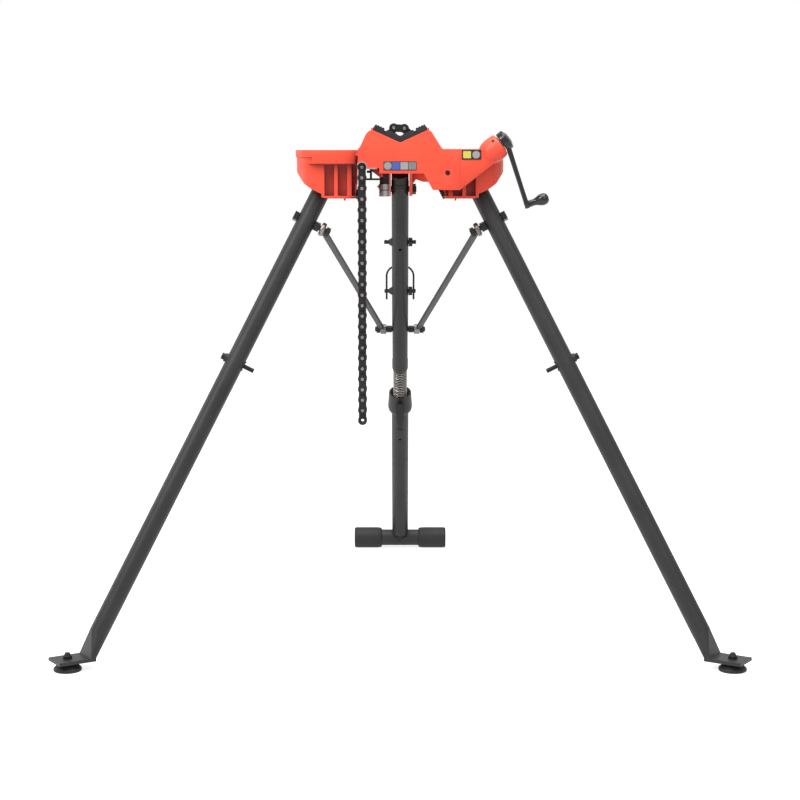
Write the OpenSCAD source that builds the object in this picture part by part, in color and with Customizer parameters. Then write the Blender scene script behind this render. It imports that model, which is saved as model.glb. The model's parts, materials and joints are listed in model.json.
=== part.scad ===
// Tripod pipe stand with a chain vise, a crank-drawn chain and a levelling rear leg.
// X runs across the stand, +Y points to the rear leg and +Z is up.
// The origin is on the floor, in the middle of the stand's bounding box.

/* [Stand] */
// Height of the tray rim above the floor
tray_height = 893; // [860:1:930]
// Splay of the front legs, seen from the front, in degrees
front_splay = 26.7; // [24:0.1:28]
// Lean of the front legs towards the front, in degrees
front_rake = 16.2; // [13:0.1:18]
// Lean of the rear leg towards the back, in degrees
rear_rake = 31.2; // [29:0.1:33]
// Half the distance between the front leg pivots
front_pivot_x = 131.5; // [130:0.5:133]
// Distance of the front leg pivots behind the vise
front_pivot_y = 59; // [57:0.5:61]
// Distance of the front leg pivots below the tray rim
front_pivot_drop = 51; // [50:0.5:53]
// Distance of the rear leg pivot behind the vise
rear_pivot_y = 335; // [330:1:345]
// Distance of the rear leg pivot below the tray rim
rear_pivot_drop = 76; // [74:0.5:78]

/* [Tubes] */
// Outer diameter of the leg tubes
leg_tube_d = 33.4; // [31:0.1:34]
// Wall of the leg tubes
leg_wall = 2.6; // [2:0.1:3.5]
// Outer diameter of the lower rear tube
lower_tube_d = 36; // [35:0.1:37]
// Outer diameter of the cross tube of the rear foot
foot_tube_d = 36; // [34:0.1:37]
// Overall length of the rear foot with its caps
rear_foot_len = 206; // [190:1:230]
// Diameter of the rubber caps
cap_d = 46; // [42:0.5:50]
// Length of one rubber cap
cap_len = 62; // [54:1:68]

/* [Front feet] */
// Height of the rubber pad under a foot plate
pad_h = 15.5; // [12:0.5:18]
// Diameter of the rubber pad
pad_d = 49; // [42:1:52]
// Thickness of the flattened tube end
plate_t = 6; // [5:0.5:7]
// Width of the flattened tube end
plate_w = 50; // [44:1:54]
// Distance from the bend to the end of the foot plate
plate_len = 60; // [54:1:62]
// Distance from the bend to the pad's bolt
pad_reach = 35; // [32:1:36]

/* [Tray] */
// Radius of the tray's front lobes
lobe_r = 51.5; // [50:0.5:54]
// Distance of the front lobes' centres outside the leg pivots
lobe_out = 6.5; // [5:0.5:8]
// Distance of the front lobes' centres in front of the leg pivots
lobe_fore = 7; // [6:0.5:8]
// Radius of the tray's rear lobe
rear_lobe_r = 42; // [38:1:46]
// Depth of the tray's rim above its floor
rim_depth = 9; // [7:0.5:10]
// Thickness of the tray floor
tray_t = 6; // [5:0.5:7]
// Wall of the casting
wall = 6; // [5:0.5:6.5]
// Depth of the skirt under the rim
skirt_depth = 24.5; // [22:0.5:26]

/* [Vise] */
// Half width of the chain slot between the two vise walls
slot_half = 15; // [14.8:0.1:15.6]
// Thickness of each vise wall
vise_wall = 9; // [8:0.5:10]
// Slope of the V seat, in degrees
v_slope = 24.2; // [22:0.1:25]
// Half width of the V seat
v_half = 48.5; // [47:0.5:50]
// Height of the V's lowest point above the tray rim
v_low = 13.2; // [12:0.2:15]
// Thickness of the jaws, square to the slope
jaw_t = 10.5; // [8:0.5:11]
// Pitch of the jaw teeth
tooth_pitch = 5; // [4:0.5:6]

/* [Chain] */
// Pitch of the chain
pitch = 19.05; // [19:0.01:19.1]
// Width of a link at its pins
link_w = 16.4; // [15:0.1:16.8]
// Width of a link at its waist
waist_w = 13.4; // [12:0.1:14]
// Diameter of a chain pin
pin_d = 6; // [5.5:0.1:6.4]
// Half the length of a chain pin
pin_half = 14.4; // [13.8:0.1:14.5]
// Number of links that hang from the claw
tail_links = 24; // [24:1:24]
// Bend from link to link between the claw and the V, in degrees
seat_bend = 14.2; // [13.8:0.1:14.6]

/* [Crank] */
// Lean of the crank's axis above the horizontal, in degrees
crank_lean = 38; // [37.5:0.1:38.5]
// Distance of the crank's hub to the right of the vise
hub_x = 187.2; // [186.5:0.1:188]
// Height of the crank's hub above the tray rim
hub_z = 16.5; // [16:0.1:17]
// Diameter of the crank's hub
hub_d = 37; // [34:0.5:38]
// Length of the crank's arm from the hub to the knob
arm_len = 121.3; // [112:0.1:126]
// Lean of the arm back over the hub's plane, in degrees
arm_lean = 19.8; // [18:0.1:21]
// Diameter of the draw screw
screw_d = 12; // [11:0.5:12.5]

/* [Levelling leg] */
// Distance from the rear pivot to the end of the upper tube
upper_len = 452; // [447:1:457]
// Diameter of the levelling screw
rod_d = 28.4; // [27:0.1:29]
// Lead of the levelling screw
rod_lead = 5; // [4:0.5:6]
// Distance from the rear pivot to the collar's mouth
collar_at = 509; // [505:1:514]
// Length of the collar
collar_len = 50; // [47:1:54]
// Outer diameter of the collar at its mouth
collar_d = 46.8; // [45:0.1:48]

/* [Braces] */
// Distance from a front pivot to the brace bolt
brace_bolt_at = 90; // [86:1:94]
// Distance from the leg's axis to the middle of the brace eye
eye_out = 33; // [32:0.5:35]
// Distance from the rear pivot to the runner
runner_at = 342; // [338:1:346]
// Distance from the rear leg's middle to a brace
runner_half = 37; // [36:0.5:38]
// Width of a brace bar
bar_w = 10; // [8:0.5:11]
// Diameter of the bail's wire
bail_d = 4; // [3:0.5:5]

/* [Fits] */
// Running clearance of a pin in its hole, on the radius
run_gap = 0.08; // [0.05:0.01:0.1]
// Clearance between parts that pass each other
side_gap = 0.4; // [0.3:0.05:0.6]

/* [Hidden] */
$fn = 48;

rest_gap = 0.05;
red = "tomato";
coated = "dimgray";
black = "black";
steel = "silver";

// Front leg frame: origin at its pivot, leg along local -Z, pivot bolt along local X
front_pivot = [front_pivot_x, front_pivot_y, tray_height - front_pivot_drop];
leg_r = leg_tube_d / 2;
leg_dir = [cos(front_rake) * sin(front_splay), -sin(front_rake), -cos(front_rake) * cos(front_splay)];
leg_plan = norm([leg_dir[0], leg_dir[1]]);
plate_z = pad_h + plate_t / 2;
leg_len = (front_pivot[2] - plate_z) / -leg_dir[2];
leg_azimuth = atan2(leg_dir[1], leg_dir[0]);
bend = front_pivot + leg_len * leg_dir;
pad_at = [bend[0] + pad_reach * cos(leg_azimuth), bend[1] + pad_reach * sin(leg_azimuth)];
leg_top = 16;
bend_run = 46;
outward = [cos(leg_azimuth), sin(leg_azimuth)];
plate_end = [bend[0], bend[1]] + plate_len * outward;
foot_front_y = plate_end[1] - plate_w / 2 * outward[0];

// Rear leg frame: origin at its pivot, leg along local -Z
rear_pivot = [0, rear_pivot_y, tray_height - rear_pivot_drop];
foot_at = (rear_pivot[2] - cap_d / 2) / cos(rear_rake);
rear_foot_y = rear_pivot_y + foot_at * sin(rear_rake) + cap_d / 2;

// The stand is centred front to back
centre_shift = -(foot_front_y + rear_foot_y) / 2;

// Vise outlines, as X and height over the tray rim
vise_half = slot_half + vise_wall;
v_rise = v_half * tan(v_slope);
seat_pin = [-68.2, -30.2];
step_x = -37;
plate_foot = -41.5;
arm_foot = -70.7;
arm_x = 108;
wall_outline = [[-75, -31.8], [step_x, -31.8], [step_x, plate_foot], [42.5, plate_foot], [58.6, arm_foot],
    [arm_x, arm_foot], [arm_x, 1.8], [77, 1.8], [74.9, 2.9], [73.2, 4.6], [59.5, 26.2], [57.4, 29.8],
    [55.2, 32.6], [v_half + 3, 34.8],
    [v_half + 3, v_low + v_rise + 4], [v_half, v_low + v_rise + 4], [v_half, v_low + v_rise],
    [0, v_low], [-v_half, v_low + v_rise], [-v_half, v_low + v_rise + 4],
    [-v_half - 3, v_low + v_rise + 4], [-v_half - 3, 35], [-55.4, 33.4], [-58.3, 30.8], [-60.4, 28.2],
    [-62.8, 24.1], [-65.7, 17.4], [-68.7, 10.7], [-72, 4.6], [-75, 1.8]];
lobe_x = front_pivot_x + lobe_out;
lobe_y = front_pivot_y - lobe_fore;

// Crank frame: origin at the hub, axis along local X
crank_dir = [cos(crank_lean), sin(crank_lean)];
bulb_at = -28;
bulb_half = 18.5;
bulb_back = 27;
bulb_r = 22.3;
bulb_end_r = 20.8;
neck_r = 15;
cavity_r = 14.5;
hub_half = 7;
screw_end = -78;
nut_r = 13;
nut_top = -62;
nut_low = -94;
sweep_slope = tan(arm_lean);
arm_off = 2.5;
arm_half = 4.5;
sweep_out = arm_len + 20;
sweep_top = 40;
sweep_back = arm_off - (arm_half + 0.8) / cos(arm_lean);

// Chain path, as X and height over the tray rim
seat_angle = 50.6;
seat_angles = [for (i = [4, 3, 2, 0, 1]) seat_angle + (2 - i) * seat_bend];
hump_angle = -3;
drop_angle = -48;
drop_links = 6;
draw_angle = -6.7;
run_angles = concat(seat_angles, [hump_angle], [for (i = [1:drop_links]) drop_angle]);
function heading(a) = [cos(a), sin(a)];
function path_point(angles, n) =
    n == 0 ? seat_pin : path_point(angles, n - 1) + pitch * heading(angles[n - 1]);
draw_start = path_point(run_angles, len(run_angles));
draw_pin = draw_start + pitch * heading(draw_angle);
inner_face = 6.3;
link_t = 2.4;
outer_face = inner_face + link_t + 0.3;
bush_r = 5.9;
notch_r = 9.7;
liner_out = notch_r - 0.1;
liner_in = 7.8;

// Rear leg details
runner_travel = 76;
rod_grip = 8;
cross_bolt_at = 125;
bail_bolt_at = 245;
bail_rise = 52;
stub_half = 32;
lever_at = 20;

module arrange() {
    translate([0, centre_shift, 0]) children();
}

module over_tray(x = 0, y = 0, z = 0) {
    arrange() translate([x, y, tray_height + z]) children();
}

module on_sides(side) {
    if (side > 0) children();
    else mirror([1, 0, 0]) children();
}

module at_front_leg(side) {
    arrange() on_sides(side) translate(front_pivot)
        rotate([-front_rake, -front_splay, 0]) children();
}

module at_rear_leg() {
    arrange() translate(rear_pivot) rotate([rear_rake, 0, 0]) children();
}

module at_crank() {
    over_tray(hub_x, 0, hub_z) rotate([0, -crank_lean, 0]) children();
}

// Extrudes an outline of X and Z from y0 to y1
module wall_xz(points, y0, y1) {
    translate([0, y1, 0]) rotate([90, 0, 0]) linear_extrude(y1 - y0) polygon(points);
}

// Extrudes an outline of Y and Z from x0 to x1
module wall_yz(points, x0, x1) {
    translate([x0, 0, 0]) rotate([90, 0, 90]) linear_extrude(x1 - x0) polygon(points);
}

module box(low, high) {
    translate(low) cube(high - low);
}

module rod_x(r, x0, x1) {
    translate([x0, 0, 0]) rotate([0, 90, 0]) cylinder(r = r, h = x1 - x0);
}

module rod_y(r, y0, y1) {
    translate([0, y1, 0]) rotate([90, 0, 0]) cylinder(r = r, h = y1 - y0);
}

module rod_z(r, z0, z1) {
    translate([0, 0, z0]) cylinder(r = r, h = z1 - z0);
}

module hex_x(across, x0, x1) {
    translate([x0, 0, 0]) rotate([0, 90, 0]) cylinder(d = across / cos(30), h = x1 - x0, $fn = 6);
}

function arc(cx, cy, r, a0, a1, n) =
    [for (i = [0:n]) [cx + r * cos(a0 + (a1 - a0) * i / n), cy + r * sin(a0 + (a1 - a0) * i / n)]];

// Tray outline with its three lobes, drawn in by a distance
function tray_outline(inset) =
    let (flank = atan2(rear_pivot_y - 13 - lobe_y, -lobe_x) - 90)
    concat(arc(lobe_x, lobe_y, lobe_r - inset, -90, flank, 24),
        arc(0, rear_pivot_y - 13, rear_lobe_r - inset, flank, 180 - flank, 12),
        arc(-lobe_x, lobe_y, lobe_r - inset, 180 - flank, 270, 24));

housing_x = 78;
housing_front = 12;
pocket_depth = 12;
housing_low = -90;
housing_r = lobe_r - 2;
housing_end = lobe_x + lobe_r + 1;
housing_outline = [[housing_x, -rim_depth], [housing_end, -rim_depth], [housing_end - 1.5, -36],
    [173.2, -59.8], [158.9, -70.3], [141.7, -78.4], [141.7, -84.6], [129, -86.8], [82, -86.8],
    [housing_x, -60]];
leg_boss = 3.4;
boss_in = 57;
boss_out = (lobe_out + housing_r - wall / 2) / cos(front_splay);
pivot_head = 7.5;

// Plan of one leg housing on the right, drawn in by a distance
module housing_plan(inset, low, high) {
    translate([lobe_x, lobe_y, low]) cylinder(r = housing_r - inset, h = high - low);
    box([housing_x + inset, 0, low], [lobe_x, lobe_y + housing_r - inset, high]);
}

// One leg housing on the right: a shell round the pivot, open below
module leg_housing() {
    intersection() {
        wall_xz(housing_outline, housing_front, lobe_y + lobe_r);
        difference() {
            housing_plan(0, housing_low, -rim_depth);
            intersection() {
                housing_plan(wall, housing_low - 10, -rim_depth - tray_t);
                box([60, housing_front + pocket_depth + wall, housing_low - 20], [200, 120, -10]);
            }
            for (x = [[80.5, 87], [95, 112], [118.5, 136]])
                box([x[0], 0, -82], [x[1], housing_front + pocket_depth, -26]);
        }
    }
    translate([100, housing_front + pocket_depth + wall / 2, 0]) rod_z(1.6, -90.6, -84);
}

// Bosses that hold a leg between the housing's walls, along its pivot bolt
module pivot_bosses() {
    intersection() {
        housing_plan(1, housing_low - 5, -rim_depth - 1);
        at_front_pivot(1) for (x = [[-boss_in, -leg_r - leg_boss - side_gap], [leg_r + side_gap, boss_out]])
            rod_x(10, x[0], x[1]);
    }
}

// Frame of a front pivot for the head, without the leg's rake
module at_front_pivot(side) {
    on_sides(side) translate([front_pivot_x, front_pivot_y, -front_pivot_drop])
        rotate([0, -front_splay, 0]) children();
}

module leg_room() {
    at_front_pivot(1) for (swing = [0:3.5:7]) rotate([swing - front_rake, 0, 0])
        rod_z(leg_r + 1.5, -120, leg_top + 3);
}

module tray() {
    difference() {
        translate([0, 0, -skirt_depth]) linear_extrude(skirt_depth) polygon(tray_outline(0));
        translate([0, 0, -rim_depth]) linear_extrude(rim_depth + 1) polygon(tray_outline(wall));
        translate([0, 0, -skirt_depth - 1]) linear_extrude(skirt_depth + 1 - rim_depth - tray_t)
            polygon(tray_outline(wall));
        for (side = [-1, 1]) on_sides(side) difference() {
            box([lobe_x + 20, -10, -skirt_depth - 1], [200, lobe_y + 24, -13]);
            translate([0, 0, -skirt_depth - 2]) linear_extrude(skirt_depth) polygon(tray_outline(2.6));
        }
    }
}

module rear_cheeks() {
    cheek_in = leg_r + 1.4;
    outline = [[rear_pivot_y - 40, -rim_depth - 1], [rear_pivot_y + 26, -rim_depth - 1],
        [rear_pivot_y + 17, -rear_pivot_drop - 13], [rear_pivot_y - 17, -rear_pivot_drop - 13]];
    for (side = [-1, 1]) on_sides(side) wall_yz(outline, cheek_in, cheek_in + wall);
}

module under_ribs() {
    for (x = [-32, 26]) box([x, vise_half - 1, -38], [x + wall, rear_pivot_y - 60, -rim_depth - 1]);
    box([-55, 118, -38], [55, 118 + wall, -rim_depth - 1]);
}

module vise_arm() {
    wall_xz([[arm_x - 1, arm_foot], [170, -22], [170, 1.8], [arm_x - 1, 1.8]], -vise_half + 3, vise_half - 3);
}

module at_crank_in_head() {
    translate([hub_x, 0, hub_z]) rotate([0, -crank_lean, 0]) children();
}

// Room that the crank needs on a full turn
module crank_sweep() {
    at_crank_in_head() rotate([0, 90, 0]) rotate_extrude()
        polygon([[bush_out - 1, sweep_back - (bush_out - 1) * sweep_slope],
            [sweep_out, sweep_back - sweep_out * sweep_slope], [sweep_out, sweep_top],
            [bush_out - 1, sweep_top]]);
}

module head_casting() {
    color(red) over_tray() difference() {
        union() {
            difference() {
                tray();
                box([wall_outline[0][0], -1, -30], [arm_x, slot_half, 1]);
            }
            at_crank_in_head() crank_bulb();
            wall_xz(wall_outline, -vise_half, -slot_half);
            wall_xz(wall_outline, slot_half, vise_half);
            vise_arm();
            box([-12, -vise_half + 1, plate_foot], [20, vise_half - 1, -6]);
            translate([91, 0, -32]) rod_y(6, -vise_half + 1, vise_half - 1);
            box([-73, vise_half - 2, -skirt_depth], [73, 62, -rim_depth]);
            for (side = [-1, 1]) on_sides(side) {
                leg_housing();
                pivot_bosses();
            }
            rear_cheeks();
            under_ribs();
            wall_xz([[-62, -12], [-31, -12], [-31, -48.6], [-37, -48.6], [-58, -33], [-62, -31]],
                vise_half + 1, vise_half + 1 + wall);
            translate([jack_x, jack_y, 0]) rod_z(jack_boss_r, -40, -4);
        }
        at_crank_in_head() {
            rod_x(cavity_r, -130, bulb_at - 4);
            rod_x(bush_out, bulb_at - 10, 10);
            at_bulb_screw() rod_z(1.8, 12, 40);
        }
        for (side = [-1, 1]) on_sides(side) leg_room();
        for (side = [-1, 1]) at_front_pivot(side) {
            rod_x(pivot_bolt_r + run_gap, -boss_in - 20, boss_out - 3);
            rod_x(11.5, -boss_in - 30, -boss_in);
            rod_x(10.5, -leg_r - leg_boss - side_gap, 0);
        }
        translate([0, rear_pivot_y, -rear_pivot_drop]) rod_x(pivot_bolt_r + run_gap, -60, 60);
        translate([0, rear_pivot_y, -rear_pivot_drop]) for (swing = [-14:7:0]) rotate([rear_rake + swing, 0, 0])
            box([-leg_r - 1.4, -leg_r - 2, -90], [leg_r + 1.4, leg_r + 2, plug_top + 6]);
        translate([jack_x, jack_y, 0]) {
            rod_z(jack_r + side_gap, -60, 10);
            rod_z(14, -100, -40);
        }
        translate([seat_pin[0], 0, seat_pin[1]]) rod_y(notch_r, -vise_half - 1, vise_half + 1);
        box([-slot_chain_w / 2 + seat_pin[0], -slot_half, -60], [seat_pin[0] + slot_chain_w / 2, slot_half, 0]);
        crank_sweep();
        for (p = jaw_screw_places) translate([p[0], p[1], p[2]]) rotate([0, p[3], 0]) rod_z(2.6, -16, 3);
        translate([body_screw_x, -vise_half, body_screw_z]) rod_y(body_screw_r + 0.1, -1, 5);
        translate([0, 0, arm_foot - 1]) linear_extrude(-arm_foot + 4)
            polygon([[93.4, -vise_half], [109.4, -vise_half + 3], [109.4, -vise_half - 2],
                [92, -vise_half - 2]]);
    }
}

body_screw_x = 84.7;
body_screw_z = -40.4;
body_screw_r = 4;
pivot_bolt_r = 6;
jack_x = -28.5;
jack_y = 62;
jack_r = 9;
jack_boss_r = 15;
slot_chain_w = 24;

// Jaw screws: place and lean, one in each arm of each jaw
jaw_screw_x = 30;
jaw_mid = slot_half + vise_wall / 2;
jaw_screw_places = [for (y = [-jaw_mid, jaw_mid]) for (s = [-1, 1])
    [s * jaw_screw_x, y, v_low + jaw_screw_x * tan(v_slope), -s * v_slope]];

// A V jaw with teeth along its inner faces
jaw_teeth = floor((v_half / cos(v_slope) - 8) / tooth_pitch);
apex_r = 6;
apex_z = (jaw_t + apex_r) / cos(v_slope);
function jaw_face(i, up) =
    let (d = i * tooth_pitch + 4.6)
    [d * cos(v_slope) - (jaw_t + up) * sin(v_slope), d * sin(v_slope) + (jaw_t + up) * cos(v_slope)];
function jaw_side() = concat([for (i = [0:3]) let (a = i * v_slope / 3)
    [apex_r * sin(a), apex_z - apex_r * cos(a)]],
    [for (i = [1:jaw_teeth]) each [jaw_face(i, 0), jaw_face(i + 0.5, 1.6)]],
    [[v_half - 0.4 - jaw_t * sin(v_slope), (v_half - 0.4) * tan(v_slope) + jaw_t * cos(v_slope)],
    [v_half - 0.4, (v_half - 0.4) * tan(v_slope) + 4], [v_half - 0.4, (v_half - 0.4) * tan(v_slope)]]);

module jaw(y0, y1) {
    right = jaw_side();
    left = [for (i = [len(right) - 1:-1:1]) [-right[i][0], right[i][1]]];
    over_tray(0, 0, v_low + rest_gap) difference() {
        wall_xz(concat([[0, 0]], left, [for (i = [0:len(right) - 1]) right[i]]), y0, y1);
        for (s = [-1, 1]) translate([s * jaw_screw_x, (y0 + y1) / 2, jaw_screw_x * tan(v_slope)])
            rotate([0, -s * v_slope, 0]) {
                rod_z(2.6, -5, 20);
                rod_z(4.6, 4, 20);
            }
    }
}

module front_jaw() {
    color(coated) jaw(-vise_half + 0.5, -slot_half - 0.5);
}

module rear_jaw() {
    color(coated) jaw(slot_half + 0.5, vise_half - 0.5);
}

module jaw_screws() {
    color(black) for (p = jaw_screw_places) over_tray(p[0], p[1], p[2] + rest_gap) rotate([0, p[3], 0]) difference() {
        union() {
            rod_z(2.5, -12, 4.5);
            rod_z(4.4, 4.2, 8);
        }
        translate([0, 0, 6]) cylinder(d = 4, h = 3, $fn = 6);
    }
}

// Bright liner of the notch where the chain leaves the vise, front and back
module claw_liner(y0, y1) {
    difference() {
        translate([seat_pin[0], 0, seat_pin[1]]) rod_y(liner_out, y0, y1);
        translate([seat_pin[0], 0, seat_pin[1]]) rod_y(liner_in, y0 - 1, y1 + 1);
        box([-90, y0 - 1, -60], [-40, y1 + 1, seat_pin[1] + 1]);
        box([-90, y0 - 1, -60], [wall_outline[0][0] + 0.2, y1 + 1, 0]);
    }
    box([seat_pin[0] + liner_in, y0, -33.8], [seat_pin[0] + liner_out, y1, seat_pin[1] + 1.2]);
    box([seat_pin[0] + liner_in, y0, -33.8], [-41, y1, -31.85]);
}

module chain_claw() {
    color(steel) over_tray() {
        claw_liner(-vise_half, -slot_half - rest_gap);
        claw_liner(slot_half + rest_gap, vise_half);
    }
}

// Lugs inside the slot that hold the ends of one chain pin from above
module claw_lugs() {
    color(black) over_tray() for (y = [-slot_half + rest_gap, pin_half - 1.6])
        difference() {
            translate([seat_pin[0], 0, seat_pin[1]]) union() {
                rod_y(7.4, y, y + slot_half - pin_half + 1.5);
                box([-3, y, 0], [3, y + slot_half - pin_half + 1.5, 13.5]);
            }
            box([-90, y - 1, -60], [-40, y + 5, seat_pin[1] - 0.5]);
            translate([seat_pin[0], 0, seat_pin[1]]) rod_y(pin_d / 2 + run_gap, -20, 20);
        }
}

// Outline of the crank's bulb, cut by its flat end
bulb_points = concat([for (i = [0:8]) let (a = 180 - i * 11.25) [bulb_r * sin(a), bulb_back * cos(a)]],
    [[bulb_r - 0.3, bulb_half / 2], [bulb_end_r, bulb_half], [0, bulb_half]]);

module crank_bulb() {
    translate([bulb_at, 0, 0]) rotate([0, 90, 0]) rotate_extrude()
        polygon(bulb_points);
    rod_x(neck_r, bulb_at, -hub_half - 1);
}

module at_bulb_screw() {
    translate([bulb_at + 11, 0, 0]) rotate([40, 0, 0]) children();
}

bush_out = 9;

module crank_bush() {
    color("peru") at_crank() difference() {
        rod_x(bush_out - rest_gap, bulb_at - 16, -hub_half - 1.2);
        rod_x(screw_d / 2 + run_gap, bulb_at - 20, 10);
    }
}

// Bare plates where the front of the vise carries its signs
module front_blank_plate() {
    color("gray") over_tray() box([-29.5, -vise_half - 0.8, -35.8], [29.2, -vise_half - rest_gap, -20.3]);
}

module arm_blank_plate() {
    color(black) over_tray() box([110, -vise_half + 2.2, -16.8], [144, -vise_half + 3 - rest_gap, 0.2]);
}

module body_screws() {
    color(black) {
        over_tray(body_screw_x, -vise_half, body_screw_z) rod_y(body_screw_r, -0.4, 4.8);
        at_crank() at_bulb_screw() rod_z(1.7, 12.1, 20);
    }
}

module front_pivot_bolts() {
    color(black) over_tray() for (side = [-1, 1]) at_front_pivot(side) {
        rod_x(pivot_bolt_r, -boss_in - pivot_head, boss_out - 4);
        hex_x(18, -boss_in - pivot_head, -boss_in - rest_gap);
    }
}

module rear_pivot_bolt() {
    color(black) over_tray(0, rear_pivot_y, -rear_pivot_drop) {
        cheek_out = leg_r + 1.4 + wall;
        rod_x(pivot_bolt_r, -cheek_out - 2, cheek_out + 8);
        hex_x(18, -cheek_out - 8, -cheek_out - rest_gap);
        hex_x(18, cheek_out + rest_gap, cheek_out + 7);
    }
}

// Chain links run from the origin along +X, their pins along Y
module link_plate(y0) {
    for (x = [0, pitch]) translate([x, 0, 0]) rod_y(link_w / 2, y0, y0 + link_t);
    box([0, y0, -waist_w / 2], [pitch, y0 + link_t, waist_w / 2]);
}

module inner_link() {
    difference() {
        union() {
            link_plate(inner_face);
            link_plate(-inner_face - link_t);
            for (x = [0, pitch]) translate([x, 0, 0]) rod_y(bush_r, -inner_face, inner_face);
        }
        for (x = [0, pitch]) translate([x, 0, 0]) rod_y(pin_d / 2 + run_gap, -20, 20);
    }
}

module outer_link() {
    link_plate(outer_face);
    link_plate(-outer_face - link_t);
    for (x = [0, pitch]) translate([x, 0, 0]) rod_y(pin_d / 2, -pin_half, pin_half);
}

// Links of the run over the V: even ones are inner links
module seat_links(odd) {
    over_tray() for (i = [0:len(run_angles) - 1]) if (i % 2 == odd)
        translate([path_point(run_angles, i)[0], 0, path_point(run_angles, i)[1]])
            rotate([0, -run_angles[i], 0]) if (odd == 1) outer_link(); else inner_link();
}

module seat_inner_links() {
    color(black) seat_links(0);
}

module seat_outer_links() {
    color(black) seat_links(1);
}

// Links that hang from the claw: even ones counted from nought are outer links
module hanging_links(first, outer) {
    for (i = [first:first + tail_links / 3 - 1]) if ((i % 2 == 0) == outer)
        over_tray(seat_pin[0], 0, seat_pin[1] - i * pitch) rotate([0, 90, 0])
            if (outer) outer_link(); else inner_link();
}

module tail_a_inner_links() { color(black) hanging_links(0, false); }
module tail_a_outer_links() { color(black) hanging_links(0, true); }
module tail_b_inner_links() { color(black) hanging_links(tail_links / 3, false); }
module tail_b_outer_links() { color(black) hanging_links(tail_links / 3, true); }
module tail_c_inner_links() { color(black) hanging_links(tail_links * 2 / 3, false); }
module tail_c_outer_links() { color(black) hanging_links(tail_links * 2 / 3, true); }

module tail_hook() {
    color(black) over_tray() {
        box([-54.5, 17, -53], [-50.5, 21, -33.8 - rest_gap]);
        box([-61, 17, -54], [step_x, 21, -50.5]);
        box([-60, 17, -41], [-51, 21, -36.5]);
    }
}

module jack_screw() {
    color(coated) over_tray(jack_x, jack_y) {
        rod_z(jack_r, -76, 0);
        rod_z(13, -4 + rest_gap, 2);
        rod_z(7, 0, 16);
    }
}

module jack_collar() {
    color(steel) over_tray(jack_x, jack_y) difference() {
        union() {
            rod_z(11, -71.5, -61.5);
            translate([0, 0, -66.5]) rotate([0, 0, 180]) rod_x(2, 8, 13.2);
        }
        rod_z(jack_r + rest_gap, -80, -50);
    }
}

module jack_cap() {
    color(steel) over_tray(jack_x, jack_y) difference() {
        rod_z(10, -84, -73);
        rod_z(jack_r + rest_gap, -76.05, -60);
    }
}

// The arm leans back from the hub's plane and carries the knob's pin
module at_arm() {
    translate([arm_off, 0, 0]) rotate([0, arm_lean, 0]) children();
}

module at_arm_end() {
    at_arm() translate([0, 0, -arm_len]) children();
}

module crank_arm() {
    color(black) at_crank() difference() {
        union() {
            rod_x(hub_d / 2, -hub_half, hub_half);
            at_arm() box([-arm_half, -7, -arm_len], [arm_half, 7, -6]);
            at_arm_end() {
                rod_x(7, -arm_half, arm_half);
                rod_x(3.5, 4, 36);
            }
        }
        rod_x(screw_d / 2 + rest_gap, -20, 20);
    }
}

module draw_screw() {
    color(steel) at_crank() rod_x(screw_d / 2, screw_end, hub_half + 2);
}

knob_points = [[3.6, 5], [6.6, 5], [6.2, 9], [5.9, 13], [6.6, 17], [8.6, 21.5], [10.4, 26], [11, 30],
    [10.6, 34], [8.8, 38], [5.6, 40.6], [0, 41.4], [0, 36.4], [3.6, 36.4]];

module crank_knob() {
    color(black) at_crank() at_arm_end() rotate([0, 90, 0]) rotate_extrude() polygon(knob_points);
}

draw_pin_s = (draw_pin[0] - hub_x) / crank_dir[0];
draw_travel = 3;

module draw_nut() {
    color("darkgoldenrod") at_crank() difference() {
        union() {
            rod_x(nut_r, nut_low, nut_top);
            for (y = [[-12.4, -9.2], [9.2, 12.4]]) {
                box([draw_pin_s, y[0], -6], [nut_low + 1, y[1], 6]);
                translate([draw_pin_s, 0, 0]) rod_y(6, y[0], y[1]);
            }
            translate([draw_pin_s, 0, 0]) rod_y(pin_d / 2, -12.4, 12.4);
        }
        rod_x(screw_d / 2 + 0.3, nut_low + 3, 0);
    }
}

module draw_link() {
    color(black) over_tray(draw_start[0], 0, draw_start[1]) difference() {
        rotate([0, -draw_angle, 0]) inner_link();
        rotate([0, -crank_lean, 0]) {
            box([-draw_travel, -20, -pin_d / 2 - run_gap], [0, 20, pin_d / 2 + run_gap]);
            translate([-draw_travel, 0, 0]) rod_y(pin_d / 2 + run_gap, -20, 20);
        }
    }
}

// A front leg: a tube whose end is flattened and bent level
module front_leg_tube(side) {
    color(coated) {
        at_front_leg(side) difference() {
            union() {
                rod_z(leg_r, -leg_len + bend_run, leg_top);
                rotate([0, 0, 180]) rod_x(9, 0, leg_r + leg_boss);
                translate([0, 0, -stud_at]) rod_x(8, 0, leg_r + 4);
            }
            rod_z(leg_r - leg_wall, -leg_len + bend_run + 6, leg_top + 1);
            rod_x(pivot_bolt_r + run_gap, -30, 30);
            translate([0, 0, -brace_bolt_at]) rod_x(5 + rest_gap, -30, 30);
            translate([0, 0, -stud_at]) rod_x(4 + rest_gap, -30, 30);
        }
        arrange() on_sides(side) {
            hull() {
                translate(front_pivot + (leg_len - bend_run - 2) * leg_dir)
                    rotate([-front_rake, -front_splay, 0]) cylinder(r = leg_r - 0.2, h = 1, $fn = 32);
                foot_slab(-5, 2, 0.3);
            }
            difference() {
                foot_slab(-8, plate_len, 0);
                translate([pad_at[0], pad_at[1], 0]) rod_z(4 + rest_gap, 0, 40);
            }
        }
    }
}

stud_at = 379;

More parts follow.
